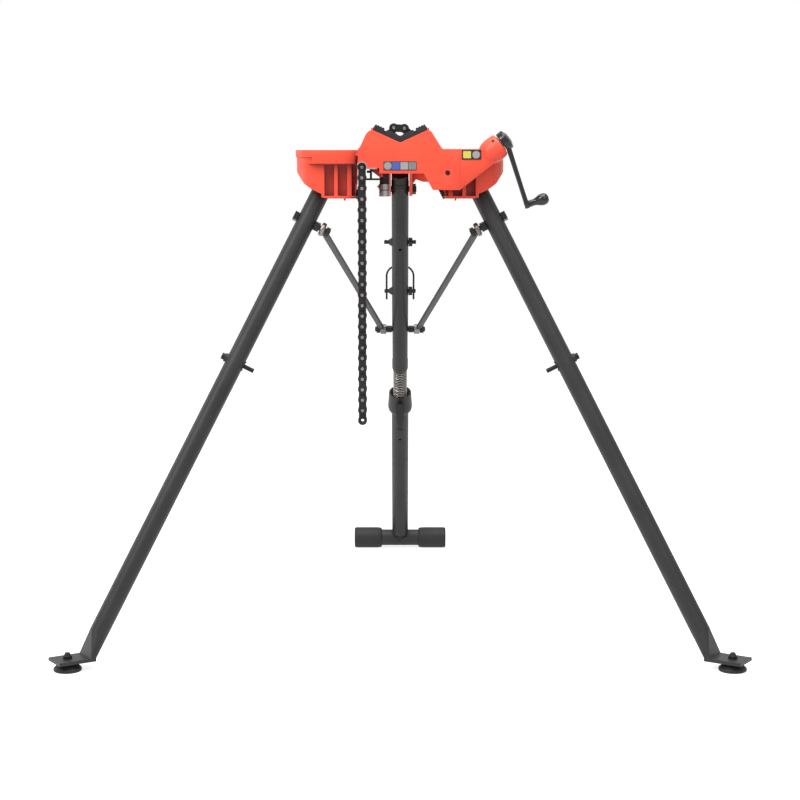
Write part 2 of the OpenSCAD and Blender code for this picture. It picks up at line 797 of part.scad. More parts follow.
module foot_slab(from, to, inset) {
    translate([bend[0], bend[1], pad_h]) rotate([0, 0, leg_azimuth])
        box([from, -plate_w / 2 + inset, inset], [to, plate_w / 2 - inset, plate_t - inset]);
}

// Bolt through the leg with a square head outside and nuts round the brace eye
module brace_bolt(side) {
    color(black) at_front_leg(side) translate([0, 0, -brace_bolt_at]) {
        rod_x(5, -eye_out - 15, leg_r + 8);
        box([leg_r + rest_gap, -7.5, -7.5], [leg_r + 8, 7.5, 7.5]);
        hex_x(15, -eye_out + eye_half + eye_play, -leg_r - rest_gap);
        hex_x(15, -eye_out - 14, -eye_out - eye_half - eye_play);
    }
}

module leg_stud(side) {
    color(black) at_front_leg(side) translate([0, 0, -stud_at]) {
        rod_x(4, -leg_r - 20, leg_r + 10);
        rod_x(6, leg_r + 4 + rest_gap, leg_r + 10);
    }
}

module pad_bolt(side) {
    color(black) arrange() on_sides(side) translate([pad_at[0], pad_at[1], 0]) {
        rod_z(4, 4, pad_h + plate_t + 9);
        rod_z(8, pad_h + plate_t + rest_gap, pad_h + plate_t + 5);
        translate([0, 0, pad_h + plate_t + 4.5]) cylinder(r1 = 6.8, r2 = 4, h = 6);
    }
}

module foot_pad(side) {
    color(black) arrange() on_sides(side) translate([pad_at[0], pad_at[1], 0]) difference() {
        union() {
            rod_z(pad_d / 2, 0, 6);
            translate([0, 0, 6]) cylinder(r1 = pad_d / 2, r2 = 11, h = pad_h - 6 - rest_gap);
        }
        rod_z(4 + run_gap, 3.9, 40);
    }
}

module left_leg_tube() { front_leg_tube(-1); }
module left_brace_bolt() { brace_bolt(-1); }
module left_leg_stud() { leg_stud(-1); }
module left_pad_bolt() { pad_bolt(-1); }
module left_foot_pad() { foot_pad(-1); }
module right_leg_tube() { front_leg_tube(1); }
module right_brace_bolt() { brace_bolt(1); }
module right_leg_stud() { leg_stud(1); }
module right_pad_bolt() { pad_bolt(1); }
module right_foot_pad() { foot_pad(1); }

// Brace ends: the eye on the front leg's bolt and the eye on the runner's bolt
eye_r = 13;
eye_half = 3.5;
eye_play = 2.8;
rear_eye_r = 10.5;
rear_eye_half = 3.6;
leg_across = [cos(front_splay), 0, sin(front_splay)];
front_eye = front_pivot + brace_bolt_at * leg_dir - eye_out * leg_across;
rear_eye = rear_pivot + [runner_half, runner_at * sin(rear_rake), -runner_at * cos(rear_rake)];
brace_vec = front_eye - rear_eye;
brace_len = norm(brace_vec);
brace_yaw = atan2(-brace_vec[0], brace_vec[1]);
brace_pitch = asin(brace_vec[2] / brace_len);

// Brace frame: origin at the rear eye, bar along local Y
module at_brace(side) {
    arrange() on_sides(side) translate(rear_eye) rotate([brace_pitch, 0, brace_yaw]) children();
}

module at_front_eye(side) {
    arrange() on_sides(side) translate(front_eye) rotate([0, -front_splay, 0]) children();
}

module at_rear_eye(side) {
    at_rear_leg() on_sides(side) translate([runner_half, 0, -runner_at]) children();
}

module brace_bar(side) {
    color(coated) difference() {
        at_brace(side) box([-bar_w / 2, 8, -3.4], [bar_w / 2, brace_len - 10, 3.4]);
        at_front_eye(side) rod_x(eye_r + rest_gap, -12, 12);
        at_rear_eye(side) rod_x(rear_eye_r + rest_gap, -12, 12);
    }
}

module brace_eyes(side) {
    color(steel) {
        at_rear_eye(side) difference() {
            rod_x(rear_eye_r, -rear_eye_half - 5, rear_eye_half);
            rod_x(5 + run_gap, -20, 20);
        }
        at_front_eye(side) difference() {
            rod_x(eye_r, -eye_half, eye_half);
            rod_x(8.4, -20, 20);
        }
    }
}

module left_brace() { brace_bar(-1); }
module left_brace_eyes() { brace_eyes(-1); }
module right_brace() { brace_bar(1); }
module right_brace_eyes() { brace_eyes(1); }

module rear_upper_tube() {
    color(coated) at_rear_leg() difference() {
        union() {
            rod_z(leg_r, -upper_len + 10, 18);
            translate([0, 0, -upper_len]) cylinder(r1 = leg_r - 2.5, r2 = leg_r, h = 10);
            for (z = [-cross_bolt_at, -bail_bolt_at]) translate([-11, 0, z]) rotate([0, -90, 0])
                cylinder(r1 = 12.5, r2 = 4.8, h = leg_r - 5);
        }
        rod_z(leg_r - leg_wall, -upper_len + rod_grip, 20);
        rod_z(rod_d / 2 + rest_gap, -upper_len - 1, -upper_len + rod_grip + 1);
        for (z = [-runner_at, -runner_at - runner_travel]) translate([0, 0, z]) rod_x(5 + run_gap, -40, 40);
        box([-40, -5 - run_gap, -runner_at - runner_travel], [40, 5 + run_gap, -runner_at]);
        rod_x(pivot_bolt_r + run_gap, -30, 30);
        for (z = [-cross_bolt_at, -bail_bolt_at]) translate([0, 0, z]) rod_x(4 + rest_gap, -40, 40);
        translate([0, 0, -cross_bolt_at - 8]) rod_y(3, -30, 0);
    }
}

plug_top = 34;

// Rubber plug in the tube's upper end
module rear_leg_plug() {
    color(black) at_rear_leg() {
        rod_z(leg_r, 18 + rest_gap, plug_top);
        rod_z(leg_r - leg_wall - rest_gap, 8, 18 + 2 * rest_gap);
    }
}

module cross_bolt(at) {
    at_rear_leg() translate([0, 0, -at]) {
        rod_x(4, -stub_half, stub_half);
        hex_x(17, leg_r + 0.3, leg_r + 8);
    }
}

module rear_cross_bolt() {
    color(black) cross_bolt(cross_bolt_at);
}

module bail_bolt() {
    color(black) difference() {
        cross_bolt(bail_bolt_at);
        at_rear_leg() translate([0, 0, -bail_bolt_at]) for (x = [-bail_x, bail_x])
            translate([x, 0, 0]) rotate([-bail_tilt, 0, 0]) rod_z(bail_d / 2 + rest_gap, -20, 20);
    }
}

bail_x = 27.5;

// Screw with plain lands between its grooves
module levelling_screw() {
    lands = floor((rod_free + 30) / rod_lead);
    color(steel) at_rear_leg() union() {
        rod_z(rod_d / 2 - 2, -upper_len - rod_free - rod_hidden, -upper_len + rod_grip);
        for (i = [0:lands - 1]) translate([0, 0, -upper_len - i * rod_lead - rod_lead])
            cylinder(r = rod_d / 2, h = rod_lead / 2);
        rod_z(rod_d / 2, -upper_len, -upper_len + rod_grip);
    }
}

rod_free = 50;
rod_hidden = 130;

// Block inside the rear tube whose bolt runs in the tube's side slots and carries both braces
module runner_block() {
    color(coated) at_rear_leg() translate([0, 0, -runner_at]) difference() {
        rod_z(leg_r - leg_wall - 0.3, -7, 8);
        rod_x(5 + rest_gap, -60, 60);
    }
}

module runner_bolt() {
    color(black) at_rear_leg() translate([0, 0, -runner_at]) {
        rod_x(5, -runner_half - 15, runner_half + 15);
        for (side = [-1, 1]) on_sides(side) {
            rod_x(7.2, leg_r + side_gap, runner_half - rear_eye_half - 5.4);
            hex_x(15, runner_half + rear_eye_half + side_gap, runner_half + 12);
        }
    }
}

// Wire bail that swings on its bolt and rests against the back of the tube
module wire_bail() {
    r = bail_d / 2;
    color(black) at_rear_leg() translate([0, 0, -bail_bolt_at]) rotate([-bail_tilt, 0, 0]) {
        for (side = [-1, 1]) on_sides(side) {
            translate([bail_x, 0, 0]) rod_z(r, -18, bail_rise - bail_corner);
            for (i = [0:3]) translate([bail_arc[i][0], 0, bail_arc[i][1]]) {
                sphere(r = r + 0.02);
                rotate([0, -22.5 * i - 11.25, 0]) rod_z(r, 0, 2 * bail_corner * sin(11.25));
            }
            translate([bail_x - bail_corner, 0, bail_rise]) sphere(r = r + 0.02);
        }
        translate([0, 0, bail_rise]) rod_x(r, bail_corner - bail_x, bail_x - bail_corner);
    }
}

bail_corner = 21;
bail_arc = arc(bail_x - bail_corner, bail_rise - bail_corner, bail_corner, 0, 90, 4);
bail_tilt = asin((leg_r + bail_d / 2 + side_gap) / bail_rise);

module rear_lower_tube() {
    color(coated) at_rear_leg() difference() {
        rod_z(lower_tube_d / 2, -foot_at + foot_tube_d / 2 + 0.1, -collar_at - 14);
        rod_z(lower_tube_d / 2 - leg_wall, -foot_at, -collar_at + 1);
        translate([0, 0, -foot_at + 303]) rod_y(3, -30, 0);
        box([-5.2, -40, -collar_at - 39], [5.2, -10, -collar_at - 12]);
    }
}

collar_flare = 2.3;
lever_out = collar_d / 2 + 3.6;
lever_drop = 28;
cup = 15;
collar_points = [[0, 0], [lower_tube_d / 2 + 1.5, 0], [lower_tube_d / 2 + 3.5, 2.2],
    [collar_d / 2 + 1, 6], [collar_d / 2 + 2, 10.4], [collar_d / 2 + collar_flare, cup],
    [collar_d / 2, collar_len], [0, collar_len]];

module levelling_collar() {
    color(coated) at_rear_leg() difference() {
        union() {
            translate([0, 0, -collar_at - collar_len]) rotate_extrude() polygon(collar_points);
            for (x = [[-9, -5], [5, 9]]) {
                translate([0, -lever_out, -collar_at - lever_drop]) rod_x(4.2, x[0], x[1]);
                box([x[0], -lever_out, -collar_at - lever_drop - 4.2], [x[1], -rod_d / 2 - 5,
                    -collar_at - lever_drop + 4.2]);
            }
        }
        rod_z(lower_tube_d / 2 + rest_gap, -collar_at - collar_len - 1, -collar_at - 14);
        rod_z(rod_d / 2 + side_gap, -collar_at - 20, -collar_at + 1);
        translate([0, 0, -collar_at - 9]) cylinder(r1 = rod_d / 2 + side_gap, r2 = collar_d / 2 - 2.5, h = 9.1);
        box([-4.9, -60, -collar_at - 41], [4.9, -rod_d / 2 - 4, -collar_at - 12]);
        translate([0, -lever_out, -collar_at - lever_drop]) rod_x(2.5 + rest_gap, -20, 20);
        box([-5.1, -rod_d / 2 - 9, -collar_at - 40], [5.1, -rod_d / 2 - 1, -collar_at - 18]);
    }
}

// Half nut that the lever holds in the thread
module half_nut() {
    color("darkgoldenrod") at_rear_leg() box([-4.8, -rod_d / 2 - 6, -collar_at - 38],
        [4.8, -rod_d / 2 - 1.2, -collar_at - 20]);
}

module lever_pin() {
    color(black) at_rear_leg() translate([0, -lever_out, -collar_at - lever_drop]) rod_x(2.5, -9.5, 9.5);
}

lever_top = -collar_at - 6;
lever_eye = -collar_at - 72;

// Tongue that is pulled away from the tube to free the screw
module release_lever() {
    color(black) at_rear_leg() difference() {
        union() {
            box([-4.6, -lever_out - 5, -collar_at - 40], [4.6, -lever_out + 3, -collar_at - 14]);
            wall_xz([[-9.5, lever_top], [9.5, lever_top], [4.6, lever_eye], [-4.6, lever_eye]],
                -lever_out - 8, -lever_out - 4.6);
            translate([0, -lever_out, lever_eye]) rod_y(7.5, -8, -4.6);
        }
        translate([0, -lever_out, -collar_at - lever_drop]) rod_x(2.5 + run_gap, -20, 20);
        translate([0, -lever_out, lever_eye]) rod_y(3.4, -10, -2);
    }
}

module rear_foot_tube() {
    color(coated) at_rear_foot() difference() {
        rod_x(foot_tube_d / 2, -rear_foot_len / 2 + 5, rear_foot_len / 2 - 5);
        rod_x(foot_tube_d / 2 - leg_wall, -rear_foot_len, rear_foot_len);
    }
}

module at_rear_foot() {
    arrange() translate([0, rear_foot_y - cap_d / 2, cap_d / 2]) children();
}

module rear_foot_caps() {
    color(black) at_rear_foot() for (side = [-1, 1]) on_sides(side) difference() {
        rod_x(cap_d / 2, rear_foot_len / 2 - cap_len, rear_foot_len / 2);
        rod_x(foot_tube_d / 2 + rest_gap, 0, rear_foot_len / 2 - 4.9);
    }
}

head_casting();
front_jaw();
rear_jaw();
jaw_screws();
chain_claw();
claw_lugs();
crank_bush();
front_blank_plate();
arm_blank_plate();
body_screws();
front_pivot_bolts();
rear_pivot_bolt();
seat_inner_links();
seat_outer_links();
tail_hook();
jack_screw();
jack_collar();
jack_cap();
crank_arm();
draw_screw();
crank_knob();
draw_nut();
draw_link();
tail_a_inner_links();
tail_a_outer_links();
tail_b_inner_links();
tail_b_outer_links();
tail_c_inner_links();
tail_c_outer_links();
left_leg_tube();
left_brace_bolt();
left_leg_stud();
left_pad_bolt();
left_foot_pad();
right_leg_tube();
right_brace_bolt();
right_leg_stud();
right_pad_bolt();
right_foot_pad();
left_brace();
left_brace_eyes();
right_brace();
right_brace_eyes();
rear_upper_tube();
rear_leg_plug();
rear_cross_bolt();
bail_bolt();
levelling_screw();
runner_block();
runner_bolt();
wire_bail();
rear_lower_tube();
levelling_collar();
half_nut();
lever_pin();
release_lever();
rear_foot_tube();
rear_foot_caps();
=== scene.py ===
"""Looks for the folding pipe stand: finishes, rounded edges, chain rivets, thread, rubber and studio."""
import json
import logging
import math
from dataclasses import dataclass, field, replace
from enum import Enum
from typing import Iterable, Optional, Sequence, Union

import bmesh
import bpy
from mathutils import Matrix, Vector

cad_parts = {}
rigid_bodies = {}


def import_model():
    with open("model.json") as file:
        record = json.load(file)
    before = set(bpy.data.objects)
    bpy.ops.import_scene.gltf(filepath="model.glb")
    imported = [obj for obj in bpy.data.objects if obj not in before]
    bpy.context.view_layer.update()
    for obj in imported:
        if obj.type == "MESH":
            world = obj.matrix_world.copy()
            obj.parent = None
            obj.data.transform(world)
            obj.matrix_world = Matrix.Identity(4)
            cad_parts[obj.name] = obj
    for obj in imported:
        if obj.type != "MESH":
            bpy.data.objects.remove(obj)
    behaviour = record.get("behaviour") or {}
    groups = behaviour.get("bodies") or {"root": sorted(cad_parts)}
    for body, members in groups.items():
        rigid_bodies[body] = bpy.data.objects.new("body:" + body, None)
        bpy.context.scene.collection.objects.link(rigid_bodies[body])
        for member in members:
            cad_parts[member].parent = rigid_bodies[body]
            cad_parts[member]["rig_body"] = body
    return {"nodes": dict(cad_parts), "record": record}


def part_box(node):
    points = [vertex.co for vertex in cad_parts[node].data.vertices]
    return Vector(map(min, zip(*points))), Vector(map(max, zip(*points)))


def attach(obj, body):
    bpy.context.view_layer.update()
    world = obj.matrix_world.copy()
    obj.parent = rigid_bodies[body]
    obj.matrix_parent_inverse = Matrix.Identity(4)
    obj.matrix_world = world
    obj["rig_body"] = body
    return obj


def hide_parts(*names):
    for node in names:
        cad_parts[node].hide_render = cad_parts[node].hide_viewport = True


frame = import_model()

LOG = logging.getLogger("stand")
Point = tuple[float, float, float]
Pair = tuple[float, float]
Profile = Sequence[Pair]
BMesh = bmesh.types.BMesh
Material = bpy.types.Material
Mesh = bpy.types.Mesh
Socket = bpy.types.NodeSocket
Tree = bpy.types.NodeTree

# Lengths are millimetres and angles degrees, unless a comment or docstring says otherwise.
MM = 0.001
# Height of the tray's rim
TOP = 893.0
# Distance of the rear leg's pivot behind the vise
REAR_PIVOT_Y = 335.0
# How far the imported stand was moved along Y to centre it
SHIFT_Y = next(j["pos_m"][1] for j in frame["record"]["behaviour"]["joints"]
               if j["name"] == "rear_fold") / MM - REAR_PIVOT_Y
# Front legs' angle to upright seen from the front, and seen from the side
SPLAY, RAKE = 26.7, 16.2
# Rear leg's angle to upright, and the crank hub's tilt
LEAN, CRANK_TILT = 31.2, 38.0
# Pivot of the right front leg, pivot of the rear leg and middle of the crank's hub
FRONT_PIVOT = (131.5, 59.0, TOP - 51.0)
REAR_PIVOT = (0.0, REAR_PIVOT_Y, TOP - 76.0)
HUB_MIDDLE = (187.2, 0.0, TOP + 16.5)
# CAD edges that bend more than this count as sharp
SHARP = 32.0
ALONG_X = Matrix.Rotation(math.pi / 2, 4, "Y")
UNTURNED = Matrix.Identity(4)

# Noise levels between which the two colours and the two roughnesses blend
COLOR_SPAN, GRAIN_SPAN = (0.35, 0.68), (0.3, 0.7)
# Octaves of the broad noise, of the fine grain and of the scuffs' noise
BROAD_DETAIL, GRAIN_DETAIL, SCUFF_DETAIL = 4.0, 2.0, 6.0
# Cells per metre of the scuffs' noise, and the noise step over which a scuff fades in
SCUFF_GRAIN, SCUFF_FADE = 70.0, 0.05
# How far the painted shade in pockets reaches in metres, and the openness over which it fades
PAINTED_SHADE_REACH, PAINTED_SHADE_SPAN = 0.035, (0.33, 0.93)
# Rays for the painted shade in pockets and for a rounded edge
PAINTED_SHADE_SAMPLES, EDGE_SAMPLES = 6, 4
COAT_ROUGHNESS = 0.12
BUMP_STRENGTH = 0.6


def maths(tree: Tree, operation: str, first: Socket, second: Union[Socket, float, None] = None) -> Socket:
    """Adds a maths node.

    Args:
        tree: the node tree.
        operation: what it does.
        first: its first value.
        second: its second value, if it takes one.

    Returns:
        The result's socket.
    """
    node = tree.nodes.new("ShaderNodeMath")
    node.operation = operation
    tree.links.new(first, node.inputs[0])
    if isinstance(second, Socket):
        tree.links.new(second, node.inputs[1])
    elif second is not None:
        node.inputs[1].default_value = second
    return node.outputs[0]


class Slot(Enum):
    """The record's material slots."""

    PAINT = "orange_paint"
    COAT = "leg_coating"
    BLACK = "black_steel"
    CHAIN = "chain_black"
    JAW = "jaw_steel"
    BRIGHT = "bright_steel"
    BRONZE = "bronze"
    GLOSS = "gloss_black"
    RUBBER = "black_rubber"
    PLATE = "label_plate"
    DARK_PLATE = "black_label"


@dataclass(frozen=True)
class Finish:
    """A procedural surface.

    Attributes:
        name: the material's name.
        color: main colour, linear.
        shade: second colour that a broad noise mixes in.
        grain: cells per metre of the fine grain.
        bump: depth of the grain in metres.
        rough: lowest and highest roughness.
        metallic: how metallic the surface is.
        coat: clear coat over the surface.
        mirror: strength of the surface's reflection.
        scuff: colour of small scuffs, or None.
        scuff_level: noise level over which scuffs show.
        broad: cells per metre of the broad noise.
        edge: how far edges look rounded, in metres.
        painted_shade: colour painted into pockets and deep corners as shade, or None.
        stretch: scale of the grain along X, Y and Z.
    """

    name: str
    color: Point
    shade: Point
    grain: float = 900.0
    bump: float = 0.00005
    rough: Pair = (0.45, 0.6)
    metallic: float = 0.0
    coat: float = 0.0
    mirror: float = 0.3
    scuff: Optional[Point] = None
    scuff_level: float = 0.68
    broad: float = 14.0
    edge: float = 0.0005
    painted_shade: Optional[Point] = None
    stretch: Point = (1.0, 1.0, 1.0)

    def build(self) -> Material:
        """Makes the material.

        Returns:
            The finished node material.
        """
        mat = bpy.data.materials.new(self.name)
        mat.use_nodes = True
        tree = mat.node_tree
        nodes, links = tree.nodes, tree.links
        shader = next(n for n in nodes if n.type == "BSDF_PRINCIPLED")
        shader.inputs["Metallic"].default_value = self.metallic
        shader.inputs["Coat Weight"].default_value = self.coat
        shader.inputs["Coat Roughness"].default_value = COAT_ROUGHNESS
        shader.inputs["Specular IOR Level"].default_value = self.mirror
        coords = nodes.new("ShaderNodeTexCoord")
        scale = nodes.new("ShaderNodeMapping")
        scale.inputs["Scale"].default_value = self.stretch
        links.new(coords.outputs["Object"], scale.inputs["Vector"])
        broad = self._noise(tree, coords.outputs["Object"], self.broad, BROAD_DETAIL)
        fine = self._noise(tree, scale.outputs["Vector"], self.grain, GRAIN_DETAIL)
        color = self._mix(tree, self.color, self.shade, self._span(tree, broad, COLOR_SPAN))
        if self.scuff:
            color = self._scuffs(tree, coords.outputs["Object"], color)
        # Painted shade: pockets and deep corners take a darker colour where ambient occlusion finds them
        # closed in.
        if self.painted_shade:
            color = self._paint_pocket_shade(tree, color)
        links.new(color, shader.inputs["Base Color"])
        links.new(self._span(tree, fine, GRAIN_SPAN, self.rough), shader.inputs["Roughness"])
        bump = nodes.new("ShaderNodeBump")
        bump.inputs["Strength"].default_value = BUMP_STRENGTH
        bump.inputs["Distance"].default_value = self.bump
        links.new(fine, bump.inputs["Height"])
        soft = nodes.new("ShaderNodeBevel")
        soft.samples = EDGE_SAMPLES
        soft.inputs["Radius"].default_value = self.edge
        links.new(soft.outputs["Normal"], bump.inputs["Normal"])
        links.new(bump.outputs["Normal"], shader.inputs["Normal"])
        return mat

    @staticmethod
    def _noise(tree: Tree, vector: Socket, scale: float, detail: float) -> Socket:
        """Adds a noise texture.

        Args:
            tree: the material's node tree.
            vector: the coordinates.
            scale: cells per metre.
            detail: octaves.

        Returns:
            The noise's value socket.
        """
        node = tree.nodes.new("ShaderNodeTexNoise")
        node.inputs["Scale"].default_value = scale
        node.inputs["Detail"].default_value = detail
        tree.links.new(vector, node.inputs["Vector"])
        return node.outputs["Fac"]

    @staticmethod
    def _span(tree: Tree, value: Socket, span: Pair, target: Pair = (0.0, 1.0)) -> Socket:
        """Stretches a value from one span to another.

        Args:
            tree: the material's node tree.
            value: the value to stretch.
            span: values that become the target's two ends.
            target: the ends of the result.

        Returns:
            The stretched value's socket.
        """
        node = tree.nodes.new("ShaderNodeMapRange")
        for name, number in zip(("From Min", "From Max", "To Min", "To Max"), (*span, *target)):
            node.inputs[name].default_value = number
        tree.links.new(value, node.inputs["Value"])
        return node.outputs["Result"]

    @staticmethod
    def _mix(tree: Tree, low: Union[Socket, Point], high: Union[Socket, Point], factor: Socket) -> Socket:
        """Mixes two colours.

        Args:
            tree: the material's node tree.
            low: the colour at factor 0, plain or from a socket.
            high: the colour at factor 1, plain or from a socket.
            factor: how much of the second one shows.

        Returns:
            The mixed colour's socket.
        """
        node = tree.nodes.new("ShaderNodeMix")
        node.data_type = "RGBA"
        for name, color in (("A", low), ("B", high)):
            if isinstance(color, Socket):
                tree.links.new(color, node.inputs[name])
            else:
                node.inputs[name].default_value = (*color, 1)
        tree.links.new(factor, node.inputs["Factor"])
        return node.outputs["Result"]

    def _paint_pocket_shade(self, tree: Tree, base: Socket) -> Socket:
        """Paints shade into pockets and corners by darkening the colour where they are closed in.

        Args:
            tree: the material's node tree.
            base: the open faces' colour.

        Returns:
            The colour with painted shade in deep corners.
        """
        open_sky = tree.nodes.new("ShaderNodeAmbientOcclusion")
        open_sky.samples = PAINTED_SHADE_SAMPLES
        open_sky.inputs["Distance"].default_value = PAINTED_SHADE_REACH
        return self._mix(tree, self.painted_shade, base, self._span(tree, open_sky.outputs["AO"], PAINTED_SHADE_SPAN))

    def _scuffs(self, tree: Tree, vector: Socket, base: Socket) -> Socket:
        """Mixes small rubbed marks into the colour.

        Args:
            tree: the material's node tree.
            vector: the coordinates.
            base: the colour under the marks.

        Returns:
            The colour with marks.
        """
        marks = self._noise(tree, vector, SCUFF_GRAIN, SCUFF_DETAIL)
        span = (self.scuff_level, self.scuff_level + SCUFF_FADE)
        return self._mix(tree, base, self.scuff, self._span(tree, marks, span))


FINISHES: dict[Slot, Finish] = {
    # The paint carries painted shade, a dark red that fills its pockets and deep corners.
    Slot.PAINT: Finish("orange_paint", (0.90, 0.088, 0.044), (0.84, 0.074, 0.038), 420.0, 0.00005,
                       (0.38, 0.5), coat=0.04, edge=0.0016, painted_shade=(0.22, 0.006, 0.006)),
    Slot.COAT: Finish("leg_coating", (0.017, 0.016, 0.017), (0.024, 0.023, 0.024), 1100.0, 0.00009,
                      (0.40, 0.55), scuff=(0.065, 0.063, 0.062), scuff_level=0.70, edge=0.0012),
    Slot.BLACK: Finish("black_steel", (0.010, 0.010, 0.010), (0.018, 0.017, 0.016), 1500.0, 0.00003,
                       (0.28, 0.42), mirror=0.2),
    Slot.CHAIN: Finish("chain_black", (0.012, 0.011, 0.0105), (0.022, 0.02, 0.019), 1800.0, 0.00002,
                       (0.30, 0.45), mirror=0.2, scuff=(0.10, 0.097, 0.094), scuff_level=0.69,
                       edge=0.0004),
    Slot.JAW: Finish("jaw_steel", (0.022, 0.022, 0.023), (0.032, 0.032, 0.033), 1000.0, 0.00006,
                     (0.4, 0.55), mirror=0.2),
    Slot.BRIGHT: Finish("bright_steel", (0.36, 0.35, 0.335), (0.27, 0.255, 0.24), 700.0, 0.00002,
                        (0.30, 0.44), metallic=0.95, stretch=(1.0, 1.0, 6.0)),
    Slot.BRONZE: Finish("bronze", (0.42, 0.25, 0.10), (0.30, 0.17, 0.08), 900.0, 0.00002,
                        (0.3, 0.45), metallic=1.0),
    Slot.GLOSS: Finish("gloss_black", (0.008, 0.008, 0.008), (0.012, 0.012, 0.012), 260.0, 0.00002,
                       (0.12, 0.2), coat=0.12, mirror=0.35, edge=0.001),
    Slot.RUBBER: Finish("black_rubber", (0.014, 0.013, 0.013), (0.019, 0.018, 0.018), 1300.0,
                        0.00008, (0.5, 0.68), edge=0.001),
    Slot.PLATE: Finish("label_plate", (0.05, 0.05, 0.052), (0.065, 0.065, 0.067), 600.0, 0.00001,
                       (0.25, 0.35), edge=0.0002),
    Slot.DARK_PLATE: Finish("black_label", (0.018, 0.018, 0.018), (0.024, 0.024, 0.024), 600.0,
                            0.00001, (0.25, 0.35), edge=0.0002),
}
PIN_STEEL = Finish("pin_steel", (0.15, 0.145, 0.14), (0.24, 0.235, 0.23), 1500.0, 0.00002,
                   (0.3, 0.42), metallic=0.8, edge=0.0002)
THREAD_STEEL = Finish("thread_steel", (0.36, 0.34, 0.32), (0.26, 0.245, 0.23), 700.0, 0.00002,
                      (0.25, 0.38), metallic=1.0, edge=0.0002)
# Near-black, dull finish of the thread's core, which shows only in the grooves: painted shade between the
# ridges.
THREAD_GROOVE_SHADE = Finish("root_steel", (0.010, 0.009, 0.008), (0.016, 0.014, 0.013), 900.0, 0.00002,
                    (0.5, 0.65), mirror=0.1, edge=0.0002)
EYE_STEEL = Finish("eye_steel", (0.12, 0.112, 0.105), (0.22, 0.20, 0.185), 700.0, 0.00002,
                   (0.25, 0.4), metallic=0.9, edge=0.0004)
PALE_TILE = Finish("tile_pale", (0.36, 0.36, 0.35), (0.26, 0.26, 0.255), 500.0, 0.00001, (0.3, 0.4))
BLUE_TILE = Finish("tile_blue", (0.045, 0.09, 0.34), (0.07, 0.12, 0.4), 500.0, 0.00001, (0.3, 0.4))
GREY_TILE = Finish("tile_grey", (0.20, 0.215, 0.21), (0.15, 0.16, 0.155), 500.0, 0.00001, (0.3, 0.4))
YELLOW_TILE = Finish("tile_yellow", (0.62, 0.56, 0.10), (0.54, 0.49, 0.09), 500.0, 0.00001, (0.3, 0.4))


def sin_d(a: float) -> float:
    """Sine of an angle in degrees."""
    return math.sin(math.radians(a))


def cos_d(a: float) -> float:
    """Cosine of an angle in degrees."""
    return math.cos(math.radians(a))


@dataclass(frozen=True)
class Placement:
    """A local frame in the stand.

    Attributes:
        origin: its origin, before the stand is centred front to back.
        x: its X axis.
        y: its Y axis.
        z: its Z axis.
    """

    origin: Point = (0.0, 0.0, 0.0)
    x: Point = (1.0, 0.0, 0.0)
    y: Point = (0.0, 1.0, 0.0)
    z: Point = (0.0, 0.0, 1.0)

    def matrix(self) -> Matrix:
        """Gives the frame as a matrix from millimetres to the stand's metres.

        Returns:
            The 4 x 4 matrix.
        """
        turn = Matrix([Vector(a) for a in (self.x, self.y, self.z)]).transposed().to_4x4()
        shift = Vector(self.origin) + Vector((0, SHIFT_Y, 0))
        return Matrix.Scale(MM, 4) @ Matrix.Translation(shift) @ turn

    def along(self, distance: float) -> "Placement":
        """Gives the same frame moved along its own Z.

        Args:
            distance: how far it moves.

        Returns:
            The moved frame.
        """
        return replace(self, origin=tuple(Vector(self.origin) + Vector(self.z) * distance))


STAND = Placement()
REAR = Placement(REAR_PIVOT, (1, 0, 0), (0, cos_d(LEAN), sin_d(LEAN)), (0, -sin_d(LEAN), cos_d(LEAN)))
HUB = Placement(HUB_MIDDLE, (cos_d(CRANK_TILT), 0, sin_d(CRANK_TILT)), (0, 1, 0),
                (-sin_d(CRANK_TILT), 0, cos_d(CRANK_TILT)))


def front_leg(side: int) -> Placement:
    """Gives a front leg's frame: X along its cross bolts, Z up the leg.

    Args:
        side: 1 for the right leg, -1 for the left one.

    Returns:
        The frame; on the left it is the mirror image.
    """
    z = Vector((-cos_d(RAKE) * sin_d(SPLAY), sin_d(RAKE), cos_d(RAKE) * cos_d(SPLAY)))
    x = Vector((cos_d(SPLAY), 0, sin_d(SPLAY)))
    y = z.cross(x)
    flip = Matrix.Diagonal((side, 1, 1))
    return Placement(*(tuple(flip @ v) for v in (Vector(FRONT_PIVOT), x, y, z)))


def node_middle(node: str) -> Placement:
    """Gives an unturned frame in the middle of a CAD node's box.

    Args:
        node: the CAD node.

    Returns:
        The frame.
    """
    low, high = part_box(node)
    middle = (low + high) / (2 * MM)
    return Placement((middle.x, middle.y - SHIFT_Y, middle.z))


